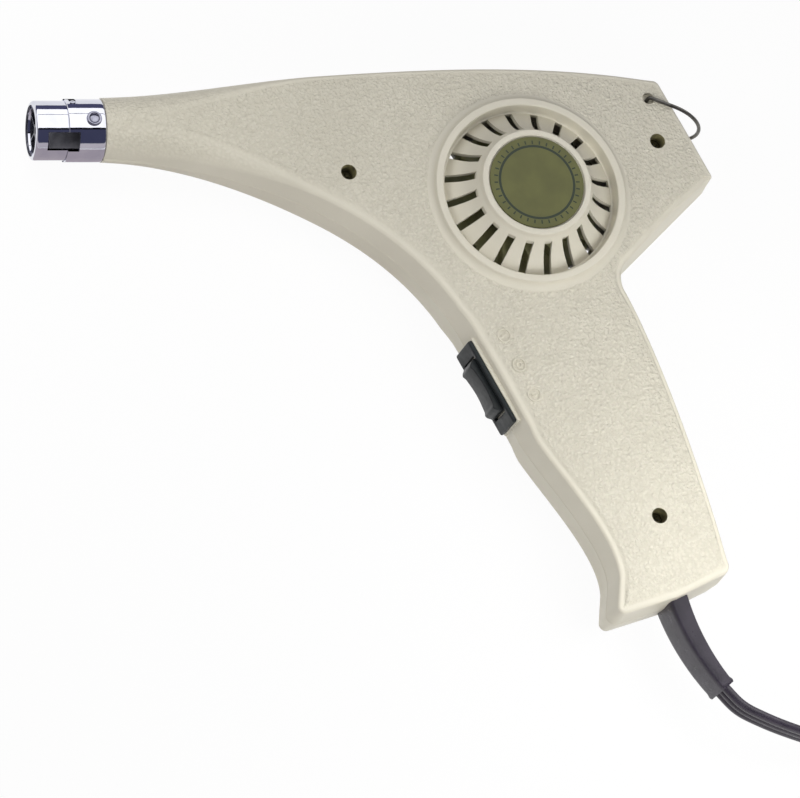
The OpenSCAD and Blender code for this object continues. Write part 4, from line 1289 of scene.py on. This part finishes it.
@dataclass
class Nozzle:
    """The plated sleeve and its bayonet collar, turned about X and cut by a window."""

    sleeve_r: float = 9.9
    neck_r: float = 9.65
    sheet: float = 0.65
    lip: float = 1.1
    collar_x: float = 9.8
    end_x: float = 22.4
    tuck: float = 6.6
    window_x: tuple[float, float] = (2.9, 13.5)
    window_mid: float = 44.0
    window_a: float = 38.0
    lug_x: float = 12.1
    lug_angles: tuple[float, float] = (-42.0, 138.0)
    lug_turn: float = 22.0
    lug_r: float = 0.9
    lug_h: float = 1.05
    slot_a: float = 7.0
    slot_half: float = 1.15
    flange_t: float = 1.2
    rivet_x: float = 18.2
    heater_r: float = 8.25
    shank_r: float = 1.2

    @staticmethod
    def turned(x: Array, r: Array, angle: Array) -> Array:
        """Points about the X axis: 0 degrees faces +Z and a positive angle faces the handle."""
        a = np.radians(angle)
        return np.stack([x + 0 * a, -r * np.sin(a), r * np.cos(a)], axis=-1)

    def shell(self, xs: Array, outer: Array, inner: Array, cuts: Sequence[Cut]) -> Surface:
        """A turned sheet with square cut-outs: outer and inner faces on one grid, and the walls between them.

        Args:
            xs: the stations along X.
            outer: the outer radius at each.
            inner: the inner radius at each.
            cuts: (first x, last x, first angle, last angle) of each cut-out.

        Returns:
            The closed surface.
        """
        marks = sorted({round(a % 360, 4) for c in cuts for a in c[2:]} | {0.0})
        bounds = marks + [marks[0] + 360]
        angles = np.concatenate([np.linspace(a, b, max(2, int((b - a) / 2.5)) + 1)[:-1]
                                 for a, b in zip(bounds[:-1], bounds[1:])])
        n = len(angles)
        mid_x = (xs[:-1] + xs[1:]) / 2
        mid_a = angles + np.diff(np.append(angles, angles[0] + 360)) / 2
        keep = np.ones((len(xs) - 1, n), bool)
        for x0, x1, a0, a1 in cuts:
            within = ((mid_a - a0) % 360) < ((a1 - a0) % 360)
            keep &= ~(((mid_x > x0) & (mid_x < x1))[:, None] & within[None])
        faces = [self.turned(xs[:, None], r[:, None], angles[None]) for r in (outer, inner)]
        parts = [grid(f, closed=True, keep=keep) for f in faces]
        wide = np.pad(keep, ((1, 1), (0, 0)))
        steps = np.argwhere(wide[:-1] != wide[1:])
        row, column = steps.T
        ends = [np.stack([f[row, column], f[row, (column + 1) % n]], axis=1) for f in faces]
        row, column = np.argwhere(keep != np.roll(keep, 1, axis=1)).T
        sides = [np.stack([f[row, column], f[row + 1, column]], axis=1) for f in faces]
        for pair in (ends, sides):
            corners = np.concatenate([pair[0], pair[1][:, ::-1]], axis=1).reshape(-1, 3)
            parts.append(Surface(corners, np.arange(len(corners)).reshape(-1, 4)))
        return joined(parts)

    @property
    def collar_top(self) -> float:
        """The collar's outer radius."""
        return self.neck_r + self.sheet + 0.2

    def window(self) -> Cut:
        """The bayonet window's cut."""
        return (*self.window_x, self.window_mid - self.window_a / 2, self.window_mid + self.window_a / 2)

    def sleeve(self) -> Surface:
        """The front sleeve with its rolled lip, its window and its two lugs.

        Returns:
            The closed surfaces.
        """
        lip = arc((0, self.sleeve_r - self.lip), self.lip, 180, 90, 8)
        end = self.collar_x + self.tuck
        xs = np.concatenate([lip[:, 0], np.linspace(0.6, 2.9, 5), np.linspace(3.6, 9.4, 9), [9.6, 9.7],
                             np.linspace(10.4, 13.5, 5), [14.5, end]])
        outer = np.full(len(xs), self.neck_r)
        outer[:len(lip) + 15] = self.sleeve_r
        outer[:len(lip)] = lip[:, 1]
        inner = np.minimum(outer - self.sheet, self.neck_r - self.sheet)
        rolled = lip[:, 1] - self.sheet * np.linspace(0.45, 1, len(lip))
        inner[:len(lip)] = np.maximum(rolled, self.sleeve_r - self.lip - 0.5)
        body = self.shell(xs, outer, inner, [self.window()])
        lugs = [self.stud(a, self.lug_x, self.neck_r - 0.3, self.neck_r + self.lug_h, self.lug_r)
                for a in self.lug_angles]
        return joined([body, *lugs])

    def stud(self, angle: float, x: float, low: float, top: float, r: float) -> Surface:
        """A round pin with a domed head that stands out of the sheet at an angle.

        Args:
            angle: its angle about X.
            x: its place along X.
            low: the radius at its foot.
            top: the radius at its head.
            r: its own radius.

        Returns:
            The closed surface.
        """
        turned = revolve(np.vstack([[[0, low], [r, low]], arc((r - 0.3, top - 0.3), 0.3, 0, 90, 4),
                                    [[r * 0.4, top + 0.06], [0, top + 0.08]]]), 32)
        a = math.radians(angle)
        turn = np.array([[1, 0, 0], [0, math.cos(a), -math.sin(a)], [0, math.sin(a), math.cos(a)]])
        return turned.moved(turn, (x, 0, 0))

    def collar(self) -> Surface:
        """The bayonet collar: its front edge is beaded, and it turns in to the heater tube at the rear.

        Returns:
            The closed surfaces.
        """
        low, top, slot = self.neck_r + 0.05, self.collar_top, self.slot_half
        xs = np.array([self.collar_x, 9.95, 10.2, 10.5, self.lug_x - slot, 11.6, self.lug_x, 12.7,
                       self.lug_x + slot, 13.5, 14.5, 16, 18, 20, 21.4, 21.9, 22.2, 22.35, self.end_x])
        outer = np.full(len(xs), top)
        outer[:4] = top + np.array([-0.25, 0.0, 0.0, -0.02])
        outer[-5:] = top - np.array([0.0, 0.03, 0.15, 0.3, 0.5])
        inner = np.full(len(xs), low)
        before = self.collar_x - 1
        cuts = [(before, *self.window()[1:])]
        for a in self.lug_angles:
            mouth = a - self.lug_turn
            cuts.append((before, self.lug_x + slot, mouth - self.slot_a, mouth + self.slot_a))
            cuts.append((self.lug_x - slot, self.lug_x + slot, mouth, a + self.slot_a))
        body = self.shell(xs, outer, inner, cuts)
        rear, front = self.end_x - 0.02, self.end_x - self.flange_t
        corners = np.array([[rear, low + 0.1], [rear, self.heater_r], [front, self.heater_r],
                            [front, low + 0.1], [rear, low + 0.1]])
        flange = self.turned(corners[:, :1], corners[:, 1:], np.linspace(0, 360, 145)[None, :-1])
        return joined([body, grid(flange, closed=True)])

    def rivet(self) -> Surface:
        """One hollow eyelet: a rolled ring round a shallow cup, and its shank.

        Returns:
            The closed surface.
        """
        top = self.collar_top
        low, shank = self.heater_r - 0.1, self.shank_r
        return revolve(np.vstack([[[shank, low], [shank, top + 0.02], [2.55, top + 0.02]],
                                  arc((2.05, top + 0.3), 0.5, -20, 160, 8),
                                  [[1.4, top + 0.25], [0.9, top + 0.12], [0.0, top + 0.1]],
                                  [[0.0, low], [shank, low]]]), 48)

    def build(self) -> None:
        """Makes the sleeve, the collar and the eyelets."""
        piece("nozzle_sleeve_plated", self.sleeve(), PLATED, Body.SLEEVE, ["nozzle_sleeve"], 30)
        piece("nozzle_collar_plated", self.collar(), PLATED, Body.HOUSING, ["nozzle_collar"], 30)
        eyelet = self.rivet().moved(shift=(self.rivet_x, 0, 0))
        both = joined([eyelet, eyelet.moved(np.diag([1, -1, -1]))])
        piece("collar_eyelets", both, EYELET, Body.HOUSING, ["collar_rivets"], 40)


# Bail


@dataclass
class Bail:
    """The wire bail: two legs that turn in to their holes, joined by a half round."""

    plan: Plan = PLAN
    wire_r: float = 0.65
    reach: float = 22.0
    leg_z: float = 12.85
    foot_z: float = 6.1
    bend_r: float = 1.0
    rest: float = 22.0

    def path(self) -> Array:
        """The wire's centreline: up out of one hole, along the leg, round the half circle and back.

        Returns:
            The points, N x 3.
        """
        leg = self.reach - self.leg_z
        foot = np.array([[0, self.foot_z], [0, self.leg_z - self.bend_r - 0.01]])
        bend = arc((self.bend_r, self.leg_z - self.bend_r), self.bend_r, 180, 90, 8)
        straight = np.column_stack([np.linspace(self.bend_r, leg, 8)[1:], np.full(7, self.leg_z)])
        half = arc((leg, 0), self.leg_z, 90, 0, 28)[1:]
        first = np.vstack([foot, bend, straight, half])
        whole = np.vstack([first, (first * [1, -1])[::-1][1:]])
        return np.column_stack([whole[:, 0], np.zeros(len(whole)), whole[:, 1]])

    def wire(self) -> Surface:
        """The wire as a tube whose section stays square to its path.

        Returns:
            The closed surface.
        """
        path = self.path()
        heading = unit(np.gradient(path, axis=0))
        tube = sweep(path, np.cross(SIDE, heading), SIDE, arc((0, 0), self.wire_r, 0, 360, 16)[:-1])
        a = math.radians(-self.rest)
        return tube.moved(turn_z((math.cos(a), math.sin(a))), (*self.plan.bail, 0))

    def build(self) -> None:
        """Makes the bail."""
        piece("hang_bail_wire", self.wire(), SPRING_WIRE, Body.BAIL, ["hang_bail"], 60)


# Switch


@dataclass
class Switch:
    """The rocker switch, in a frame whose X runs along the bezel and whose -Y faces out of the handle."""

    plan: Plan = PLAN
    bezel: tuple[float, float, float] = (31.0, 15.0, 1.4)
    pocket: tuple[float, float] = (21.4, 10.6)
    pocket_d: float = 11.0
    rocker: tuple[float, float] = (20.6, 9.8)
    body_size: tuple[float, float, float] = (28.0, 12.8, 17.0)
    ridge: float = 2.1

    def placed(self, shape: Surface) -> Surface:
        """A surface moved from the switch's frame to the tool's."""
        return shape.moved(turn_z(self.plan.switch_way), (*self.plan.switch, 0))

    @staticmethod
    def stack(levels: Sequence[tuple[float, float, float, float]]) -> Array:
        """Rounded rectangles, one for each (y, length, width, corner radius), as a table of points."""
        return np.stack([np.column_stack([b[:, 0], np.full(len(b), y), b[:, 1]])
                         for y, l, w, r in levels for b in [rounded_box(l, w, r, 5)]])

    def frame_part(self) -> Surface:
        """The bezel with its softened rim, its pocket and the body behind the wall.

        Returns:
            The closed surfaces.
        """
        l, w, h = self.bezel
        pl, pw = self.pocket
        bl, bw, depth = self.body_size
        levels = [(-0.02, bl, bw, 0.6), (-0.02, l, w, 0.9), (-h + 0.5, l, w, 0.9),
                  (-h + 0.2, l - 0.15, w - 0.15, 0.85), (-h + 0.05, l - 0.5, w - 0.5, 0.7),
                  (-h, l - 0.9, w - 0.9, 0.6), (-h, pl + 0.6, pw + 0.6, 0.6),
                  (-h + 0.12, pl + 0.12, pw + 0.12, 0.5), (-h + 0.35, pl, pw, 0.5),
                  (self.pocket_d, pl, pw, 0.5)]
        rim = self.stack(levels)
        back = self.stack([(-0.02, bl, bw, 0.6), (depth, bl, bw, 0.6)])
        parts = [shape for table in (rim, back) for shape in (grid(table, closed=True), fan(table[-1]))]
        return self.placed(joined(parts))

    def rocker_part(self) -> Surface:
        """The rocker: a hollowed top between two rounded end ridges, on sides that stand out of the bezel.

        The top's height along X is a shallow cosine, and each ridge is a half round.

        Returns:
            The closed surface.
        """
        l, w = self.rocker
        h = self.bezel[2]
        t = np.linspace(-1, 1, 61)
        x = t * (l / 2 - 0.7)
        dip = 0.55 * np.cos(np.clip(t / 0.72, -1, 1) * math.pi / 2) ** 1.3
        crest = 0.5 * np.exp(-((np.abs(t) - 0.8) / 0.085) ** 2)
        top = -(h + self.ridge) + dip - crest + 0.9 * ease((np.abs(t) - 0.88) / 0.12)
        head = np.column_stack([x, top])
        right = np.array([[l / 2 - 0.42, -h - 0.4], [l / 2 - 0.4, -h], [l / 2 - 0.5, 0.6], [3.2, 5.6]])
        loop = np.vstack([head, right, right[::-1] * [-1, 1]])
        middle = np.array([0.0, 0.8])
        rows = []
        for z, k in ((-w / 2, 0.955), (-w / 2 + 0.15, 0.985), (-w / 2 + 0.45, 1.0), (w / 2 - 0.45, 1.0),
                     (w / 2 - 0.15, 0.985), (w / 2, 0.955)):
            flat = middle + (loop - middle) * [k * 0.25 + 0.75, k]
            rows.append(np.column_stack([flat, np.full(len(flat), z)]))
        ends = [plate(row[:, :2], [], lambda q, z=row[0, 2]: np.full(len(q), z))
                for row in (rows[0], rows[-1])]
        return self.placed(joined([grid(np.stack(rows), closed=True), *ends]))

    def build(self) -> None:
        """Makes the bezel with its body, and the rocker."""
        piece("switch_bezel_and_body", self.frame_part(), SWITCH_NYLON, Body.HOUSING,
              ["switch_body"], 40)
        piece("rocker_paddle", self.rocker_part(), ROCKER_NYLON, Body.ROCKER,
              ["switch_rocker"], 40)


# Cord


@dataclass
class Cordset:
    """The strain relief, the flat three-core cord and its moulded plug."""

    plan: Plan = PLAN
    relief_l: float = 32.0
    relief_back: float = 30.0
    relief_up: float = 5.0
    root: tuple[float, float] = (7.2, 15.2)
    tip_size: tuple[float, float] = (5.0, 13.2)
    cord_t: float = 3.1
    cord_w: float = 9.4
    floor_z: float = -21.2
    coil_c: tuple[float, float] = (322.0, -163.0)
    coil_out: float = 54.4
    coil_pitch: float = 3.4
    coil_turns: int = 5
    coil_end: float = 317.3
    tail_r: float = 13.0
    plug: tuple[float, float, float] = (24.0, 24.0, 19.0)
    plug_neck_l: float = 6.0
    plug_taper: tuple[float, float] = (8.0, 4.5)
    groove_d: float = 1.1
    root_way: tuple[float, float] = (0.22, -0.97)
    tip_way: tuple[float, float] = (0.6, -0.8)
    web_half: float = 0.62
    blade_side: float = 6.35
    earth_r: float = 2.4
    earth_l: float = 15.1

    @property
    def cord_z(self) -> float:
        """Height of the cord's middle where it lies on the bench."""
        return self.floor_z + self.cord_w / 2

    def relief_path(self, t: Array) -> Array:
        """The strain relief's bent middle line.

        Args:
            t: the parameters, 0 at the root and 1 at the tip.

        Returns:
            The points, N x 2.
        """
        start = np.array([self.plan.tool_l - self.relief_back, -self.plan.tool_drop + self.relief_up])
        d0, d1 = unit(np.array(self.root_way)), unit(np.array(self.tip_way))
        end = start + self.relief_l * unit(d0 + d1)
        third = self.relief_l / 3
        return cubic([start, start + d0 * third, end - d1 * third, end], t)[0]

    def relief(self) -> Surface:
        """The boot: a softly creased box section that tapers, bends and ends in a flared lip.

        Returns:
            The closed surface.
        """
        t = np.concatenate([np.linspace(-0.16, 0.93, 30), [0.95, 0.965, 0.98, 0.992, 1.0]])
        inner = np.clip(t, 0, 1)
        xy = self.relief_path(inner)
        step = self.relief_path(np.minimum(inner + 1e-3, 1)) - self.relief_path(np.maximum(inner - 1e-3, 0))
        heading = unit(step)
        xy = xy + heading * (np.minimum(t, 0) * self.relief_l)[:, None]
        path = np.column_stack([xy, np.zeros(len(t))])
        lip = 1 + 0.07 * ease((t - 0.93) / 0.04) - 0.05 * ease((t - 0.98) / 0.02)
        w = (self.root[0] + (self.tip_size[0] - self.root[0]) * inner) * lip
        h = (self.root[1] + (self.tip_size[1] - self.root[1]) * inner) * lip
        return sweep(path, left_of(heading), UP, rounded_box(1, 1, 0.16, 5), np.column_stack([w, h]))

    def path(self) -> Array:
        """The cord's middle line: through the route's points, round the coil inwards, and back to the plug.

        The stretch before the coil is a smooth curve through the points. The coil is a spiral whose
        radius falls by one pitch a turn, and the tail is an arc.

        Returns:
            The points, N x 3.
        """
        tip = self.relief_path(np.array([1.0]))[0]
        z = self.cord_z
        route = np.array([[tip[0], tip[1], 0], [219.5, -204.6, -0.3], [227.5, -208.8, -1.2],
                          [237, -212, -3.6], [248, -214.4, -7.6], [260, -216, -12], [272, -217, -15.3],
                          [284, -217.4, z], [300, -217.4, z], [314, -217.4, z], [322, -217.4, z]])
        way = unit(np.array(self.tip_way))
        ghost = np.vstack([route[0] - [*(way * 9), 0], route, route[-1] + [10, 0, 0]])
        steps = np.linspace(0, 1, 7)[:-1, None]
        runs = []
        for a, b, c, d in zip(ghost[:-3], ghost[1:-2], ghost[2:-1], ghost[3:]):
            m0, m1 = (c - a) / 2, (d - b) / 2
            runs.append((2 * steps ** 3 - 3 * steps ** 2 + 1) * b + (steps ** 3 - 2 * steps ** 2 + steps) * m0
                        + (-2 * steps ** 3 + 3 * steps ** 2) * c + (steps ** 3 - steps ** 2) * m1)
        lead = np.vstack(runs)
        turns = self.coil_turns + (self.coil_end + 90) / 360
        a = np.linspace(0, turns * 360, int(turns * 60))
        r = self.coil_out - self.coil_pitch * a / 360
        coil = np.column_stack([self.coil_c[0] + r * np.cos(np.radians(a - 90)),
                                self.coil_c[1] + r * np.sin(np.radians(a - 90)), np.full(len(a), z)])
        inner = self.coil_out - turns * self.coil_pitch
        end = math.radians(self.coil_end)
        centre = np.array(self.coil_c) + (inner - self.tail_r) * np.array([math.cos(end), math.sin(end)])
        tail = arc(centre, self.tail_r, self.coil_end - 360, 90, 24)[1:]
        last = np.column_stack([tail, np.full(len(tail), z)])
        return np.vstack([lead, coil, last, last[-1] + [[-2.0, 0, 0]]])

    def section(self) -> Array:
        """Three round cores side by side with thin webs between: at each height, the largest of their arcs.

        Returns:
            The points, N x 2.
        """
        r = self.cord_t / 2
        z = self.cord_w / 2 * np.sin(np.radians(np.linspace(-90, 90, 31)))
        centres = np.array([-1, 0, 1]) * (self.cord_w / 2 - r)
        arcs = np.sqrt(np.maximum(r * r - (z[:, None] - centres) ** 2, 0))
        half = np.maximum(arcs.max(axis=1), np.where(np.abs(z) < centres[-1], self.web_half, 0))
        return np.vstack([np.column_stack([half, z]), np.column_stack([-half, z])[::-1][1:-1]])

    def cord(self) -> tuple[Surface, Array]:
        """The cord and the points that it follows.

        Returns:
            The closed surface, and the path's points.
        """
        path = self.path()
        heading = np.gradient(path, axis=0)
        heading[0] = [*self.tip_way, 0]
        return sweep(path, left_of(unit(heading[:, :2])), UP, self.section()), path

    def plug_place(self, shape: Surface, path: Array) -> Surface:
        """A surface moved to the end of the cord, where the plug points along -X."""
        end = path[-2]
        return shape.moved(np.diag([-1, -1, 1]), (end[0], end[1], self.floor_z))

    def plug_part(self, path: Array) -> Surface:
        """The moulded plug: a rounded block that narrows to its neck, with finger grooves on its sides.

        Args:
            path: the cord's points.

        Returns:
            The closed surface.
        """
        l, w, h = self.plug
        t = np.linspace(0, 1, 41)
        grooves = self.groove_d * (np.cos((t - 0.3) * 40) > 0.2) * ease((t - 0.32) / 0.04) * (t < 0.8)
        less_w, less_h = self.plug_taper
        width = (w - less_w) + less_w * ease(t / 0.22) - grooves
        height = (h - less_h) + less_h * ease(t / 0.3)
        middle = np.column_stack([self.plug_neck_l + (l - self.plug_neck_l) * t, 0 * t,
                                  h / 2 - (h - height) * 0.32])
        size = np.column_stack([width, np.minimum(height, 2 * (h / 2 - np.abs(middle[:, 2] - h / 2)))])
        block = sweep(middle, SIDE, UP, rounded_box(1, 1, 0.13, 5), size)
        s = np.linspace(0, 1, 25)
        neck_h = self.cord_w + 2
        line = np.column_stack([s * (self.plug_neck_l + 1), 0 * s, np.full(25, neck_h / 2)])
        ribs = 1 - 0.12 * (np.sin(s * math.pi * 8) > 0.4)
        neck = sweep(line, SIDE, UP, rounded_box(1, 1, 0.25, 5),
                     np.column_stack([6.8 * ribs, neck_h * ribs]))
        return self.plug_place(joined([block, neck]), path)

    def pins_part(self, path: Array) -> Surface:
        """Two flat blades, and the round earth pin with its domed end.

        Args:
            path: the cord's points.

        Returns:
            The closed surfaces.
        """
        l, _, h = self.plug
        x = np.array([0.0, 13.2, 14.8, 15.6, 16.0])
        size = np.column_stack([[1.5, 1.5, 1.4, 1.0, 0.6], [6.3, 6.3, 5.9, 5.0, 4.2]])
        parts = []
        for side in (-1, 1):
            middle = np.column_stack([l + x, np.full(5, side * self.blade_side), np.full(5, h / 2 + 2)])
            parts.append(sweep(middle, SIDE, UP, rounded_box(1, 1, 0.08, 3), size))
        r, end = self.earth_r, self.earth_l
        pin = revolve(np.vstack([[[0, 0], [r, 0], [r, end]], arc((0, end), r, 0, 90, 8)]), 32)
        turn = np.array([[0, 0, 1], [0, 1, 0], [-1, 0, 0]])
        parts.append(pin.moved(turn, (l, 0, h / 2 - 5)))
        return self.plug_place(joined(parts), path)

    def build(self) -> None:
        piece("strain_relief_boot", self.relief(), BOOT_PVC, Body.HOUSING, ["strain_relief"], 50)
        shape, path = self.cord()
        flex = piece("flat_cord", shape, CORD_PVC, Body.HOUSING,
                     ["cord_lead", "cord_coil", "cord_tail"], 60)
        plug = piece("moulded_plug", self.plug_part(path), CORD_PVC, Body.HOUSING, ["plug_body"], 50)
        pins = piece("plug_blades", self.pins_part(path), BRASS, Body.HOUSING, ["plug_pins"],
                     50)
        length = float(np.linalg.norm(np.diff(path, axis=0), axis=1).sum())
        LOG.info("cord: %.0f mm", length)
        [tuple(q * MM) for q in path]


# Inner pieces


@dataclass(frozen=True)
class Inner:
    """The nodes that show only through the slots and the mouth, with the finish of each."""

    # The housing screws' dark colour is painted shade, and the fan's pale colour painted light.
    finishes: tuple[tuple[str, Finish], ...] = (
        ("housing_screws", SHADED_SCREW), ("nozzle_spider", SHEET_STEEL), ("heater_tube", SHEET_STEEL),
        ("mica_liner", MICA), ("heater_core", MICA), ("heating_coil", NICHROME), ("heater_end_plate", MICA),
        ("thermal_cutout", FIRED_CLAY), ("impeller", FAN_NYLON_PAINTED_LIGHT), ("motor_shaft", ZINC),
        ("armature_core", SHEET_STEEL), ("armature_winding", ENAMEL_WIRE), ("commutator", COPPER),
        ("motor_can", SHEET_STEEL), ("motor_magnets", FERRITE), ("motor_end_cap", WHITE_CAP),
        ("motor_brushes", FERRITE), ("motor_bushes", BRONZE), ("motor_mount_ring", BLACK_RUBBER),
        ("rectifier_board", PAPER_BOARD), ("rectifier_diodes", DARK_NYLON), ("switch_pivot", ZINC),
        ("switch_terminals", BRASS), ("cord_clamp", DARK_NYLON), ("clamp_screws", ZINC))

    def build(self) -> None:
        """Gives each node its material."""
        for name, finish in self.finishes:
            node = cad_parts[name]
            node.data.materials.clear()
            node.data.materials.append(finish.build())
            node.data.shade_smooth()
            node.data.set_sharp_from_angle(angle=math.radians(30))
            LOG.info("%s: %s", name, finish.name)


# Studio


@dataclass(frozen=True)
class Card:
    """A card for reflections: between two angles about X, where 0 is up and positive is the handle's side."""

    name: str
    angles: tuple[float, float]
    colour: str
    strength: float = 1.0
    radius: float = 700.0
    reach: tuple[float, float] = (-900.0, 1200.0)


@dataclass(frozen=True)
class Lamp:
    """A soft square lamp."""

    name: str
    at: tuple[float, float, float]
    aim: tuple[float, float, float]
    size: float
    power: float


@dataclass
class Studio:
    """The camera at the photograph's place, a pale floor and soft lamps."""

    camera_at: tuple[float, float, float] = (-305.2, -559.2, 1363.2)
    facing: tuple[float, float] = (-0.2801, -0.3092)
    roll: float = -0.1122
    lens: float = 4550.35 * 36 / 800
    floor_z: float = -21.2
    floor_colour: str = "#f4f3f1"
    floor_white: float = 0.95
    world_colour: str = "#ecebf0"
    world_strength: float = 0.45
    lamps: tuple[Lamp, ...] = (
        Lamp("overhead", (50, -150, 700), (110, -60, 0), 500, 0.15),
        Lamp("low_front", (200, -480, 330), (190, -140, 0), 300, 0.45),
        Lamp("handle_side", (248, -188, 145), (205, -145, 0), 120, 0.235),
        Lamp("barrel_side", (-60, 30, 200), (40, 0, 0), 120, 0.22))
    cards: tuple[Card, ...] = (
        Card("softbox", (-68, 11), "#ffffff", 1.45),
        Card("frame_bar", (-43.5, -41), "#8f8f98", radius=545),
        Card("black_edge", (11, 18), "#101018"),
        Card("far_dark", (-93, -68), "#4e4f6b"),
        Card("near_dark", (18, 68), "#43455c"),
        Card("near_grey", (70, 88), "#c9c3c7"))
    mat: tuple[tuple[float, float], tuple[float, float], str] = ((-300, 120), (-900, -10), "#b4abb0")

    def camera(self) -> None:
        """The camera: its back axis points from the tool to it, and it is rolled about that axis."""
        cx, cy = self.facing
        back = np.array([cx, cy, math.sqrt(1 - cx * cx - cy * cy)])
        right = unit(np.cross([0.0, 1.0, 0.0], back))
        up = np.cross(back, right)
        c, s = math.cos(self.roll), math.sin(self.roll)
        turned = np.column_stack([c * right + s * up, -s * right + c * up, back])
        data = bpy.data.cameras.new("view")
        data.sensor_width = 36
        data.lens = self.lens
        data.clip_start, data.clip_end = 0.05, 20
        eye = bpy.data.objects.new("view", data)
        place = Matrix([[*turned[i], self.camera_at[i] * MM] for i in range(3)] + [[0, 0, 0, 1]])
        eye.matrix_world = place
        bpy.context.scene.collection.objects.link(eye)
        bpy.context.scene.camera = eye

    def floor(self) -> None:
        """A pale floor that looks white to the camera and in the metal, and keeps the tool's soft shadow."""
        half = 6.0 / MM
        z = self.floor_z - 0.05
        corners = [(-half, -half, z), (half, -half, z), (half, half, z), (-half, half, z)]
        material = emptied_material("pale_floor")
        tree = material.node_tree
        matt = add_node(tree, "BsdfDiffuse", inputs={"Color": linear(self.floor_colour)})
        white = add_node(tree, "Emission", inputs={"Color": (1, 1, 1, 1), "Strength": 1.0})
        ray = add_node(tree, "LightPath").outputs
        seen = maths(tree, "MAXIMUM", ray["Is Camera Ray"], ray["Is Glossy Ray"])
        both = maths(tree, "MAXIMUM", seen, ray["Is Transmission Ray"])
        share = maths(tree, "MULTIPLY", both, self.floor_white)
        mix = add_node(tree, "MixShader", inputs={0: share, 1: matt.outputs[0], 2: white.outputs[0]})
        add_node(tree, "OutputMaterial", inputs={"Surface": mix.outputs[0]})
        self.board("floor", corners, material)

    def board(self, name: str, corners: Sequence[Sequence[float]],
              material: bpy.types.Material) -> bpy.types.Object:
        """A flat four-sided piece of the studio, with its corners in millimetres.

        Args:
            name: its name.
            corners: its four corners.
            material: what it is made of.

        Returns:
            The object.
        """
        mesh = bpy.data.meshes.new(name)
        mesh.from_pydata([tuple(np.asarray(q, float) * MM) for q in corners], [], [(0, 1, 2, 3)])
        made = bpy.data.objects.new(name, mesh)
        bpy.context.scene.collection.objects.link(made)
        mesh.materials.append(material)
        return made

    def card(self, card: Card) -> None:
        """A card that only shows in the plated metal, on a cylinder about the nozzle's axis.

        Args:
            card: its place and colour.
        """
        a, b = (math.radians(x) for x in card.angles)
        edge = [(-card.radius * math.sin(t), card.radius * math.cos(t)) for t in (a, b)]
        x0, x1 = card.reach
        corners = [(x0, *edge[0]), (x1, *edge[0]), (x1, *edge[1]), (x0, *edge[1])]
        self.glow_sheet(card.name, corners, card.colour, card.strength)

    def glow_sheet(self, name: str, corners: Sequence[Sequence[float]], colour: str, strength: float) -> None:
        """A glowing sheet that only reflections show.

        Args:
            name: its name.
            corners: its four corners in millimetres.
            colour: its colour.
            strength: its brightness.
        """
        material = emptied_material(name)
        tree = material.node_tree
        glow = add_node(tree, "Emission", inputs={"Color": linear(colour), "Strength": strength})
        add_node(tree, "OutputMaterial", inputs={"Surface": glow.outputs[0]})
        sheet = self.board(name, corners, material)
        sheet.visible_camera = sheet.visible_diffuse = sheet.visible_shadow = False
        sheet.visible_transmission = False

    def lamp(self, lamp: Lamp) -> None:
        """A square area lamp that faces a point and stays out of reflections.

        Args:
            lamp: its place, size and power.
        """
        data = bpy.data.lights.new(lamp.name, "AREA")
        data.shape = "SQUARE"
        data.size = lamp.size * MM
        data.energy = lamp.power
        light = bpy.data.objects.new(lamp.name, data)
        light.location = Vector(lamp.at) * MM
        way = Vector(lamp.aim) * MM - light.location
        light.rotation_euler = way.to_track_quat("-Z", "Y").to_euler()
        light.visible_glossy = False
        bpy.context.scene.collection.objects.link(light)

    def world(self) -> None:
        """An even pale surrounding."""
        around = bpy.data.worlds.new("studio")
        bpy.context.scene.world = around
        around.use_nodes = True
        tree = around.node_tree
        tree.nodes.clear()
        glow = add_node(tree, "Background", inputs={"Color": linear(self.world_colour),
                                                    "Strength": self.world_strength})
        add_node(tree, "OutputWorld", inputs={"Surface": glow.outputs[0]})

    def build(self) -> None:
        """Sets up the whole studio."""
        bpy.context.scene.view_settings.view_transform = "Standard"
        self.camera()
        self.world()
        self.floor()
        for lamp in self.lamps:
            self.lamp(lamp)
        for card in self.cards:
            self.card(card)
        (x0, x1), (y0, y1), colour = self.mat
        z = self.floor_z + 0.2
        self.glow_sheet("grey_mat", [(x0, y0, z), (x1, y0, z), (x1, y1, z), (x0, y1, z)], colour, 1.0)


def main() -> None:
    """Builds the studio, then the cord, and then every other piece of the tool."""
    logging.basicConfig(level=logging.INFO, format="%(name)s %(message)s")
    Studio().build()
    for part in (Cordset(), Housing(), Nozzle(), Bail(), Switch(), Inner()):
        LOG.info("%s", type(part).__name__)
        part.build()


if __name__ == "__main__":
    main()
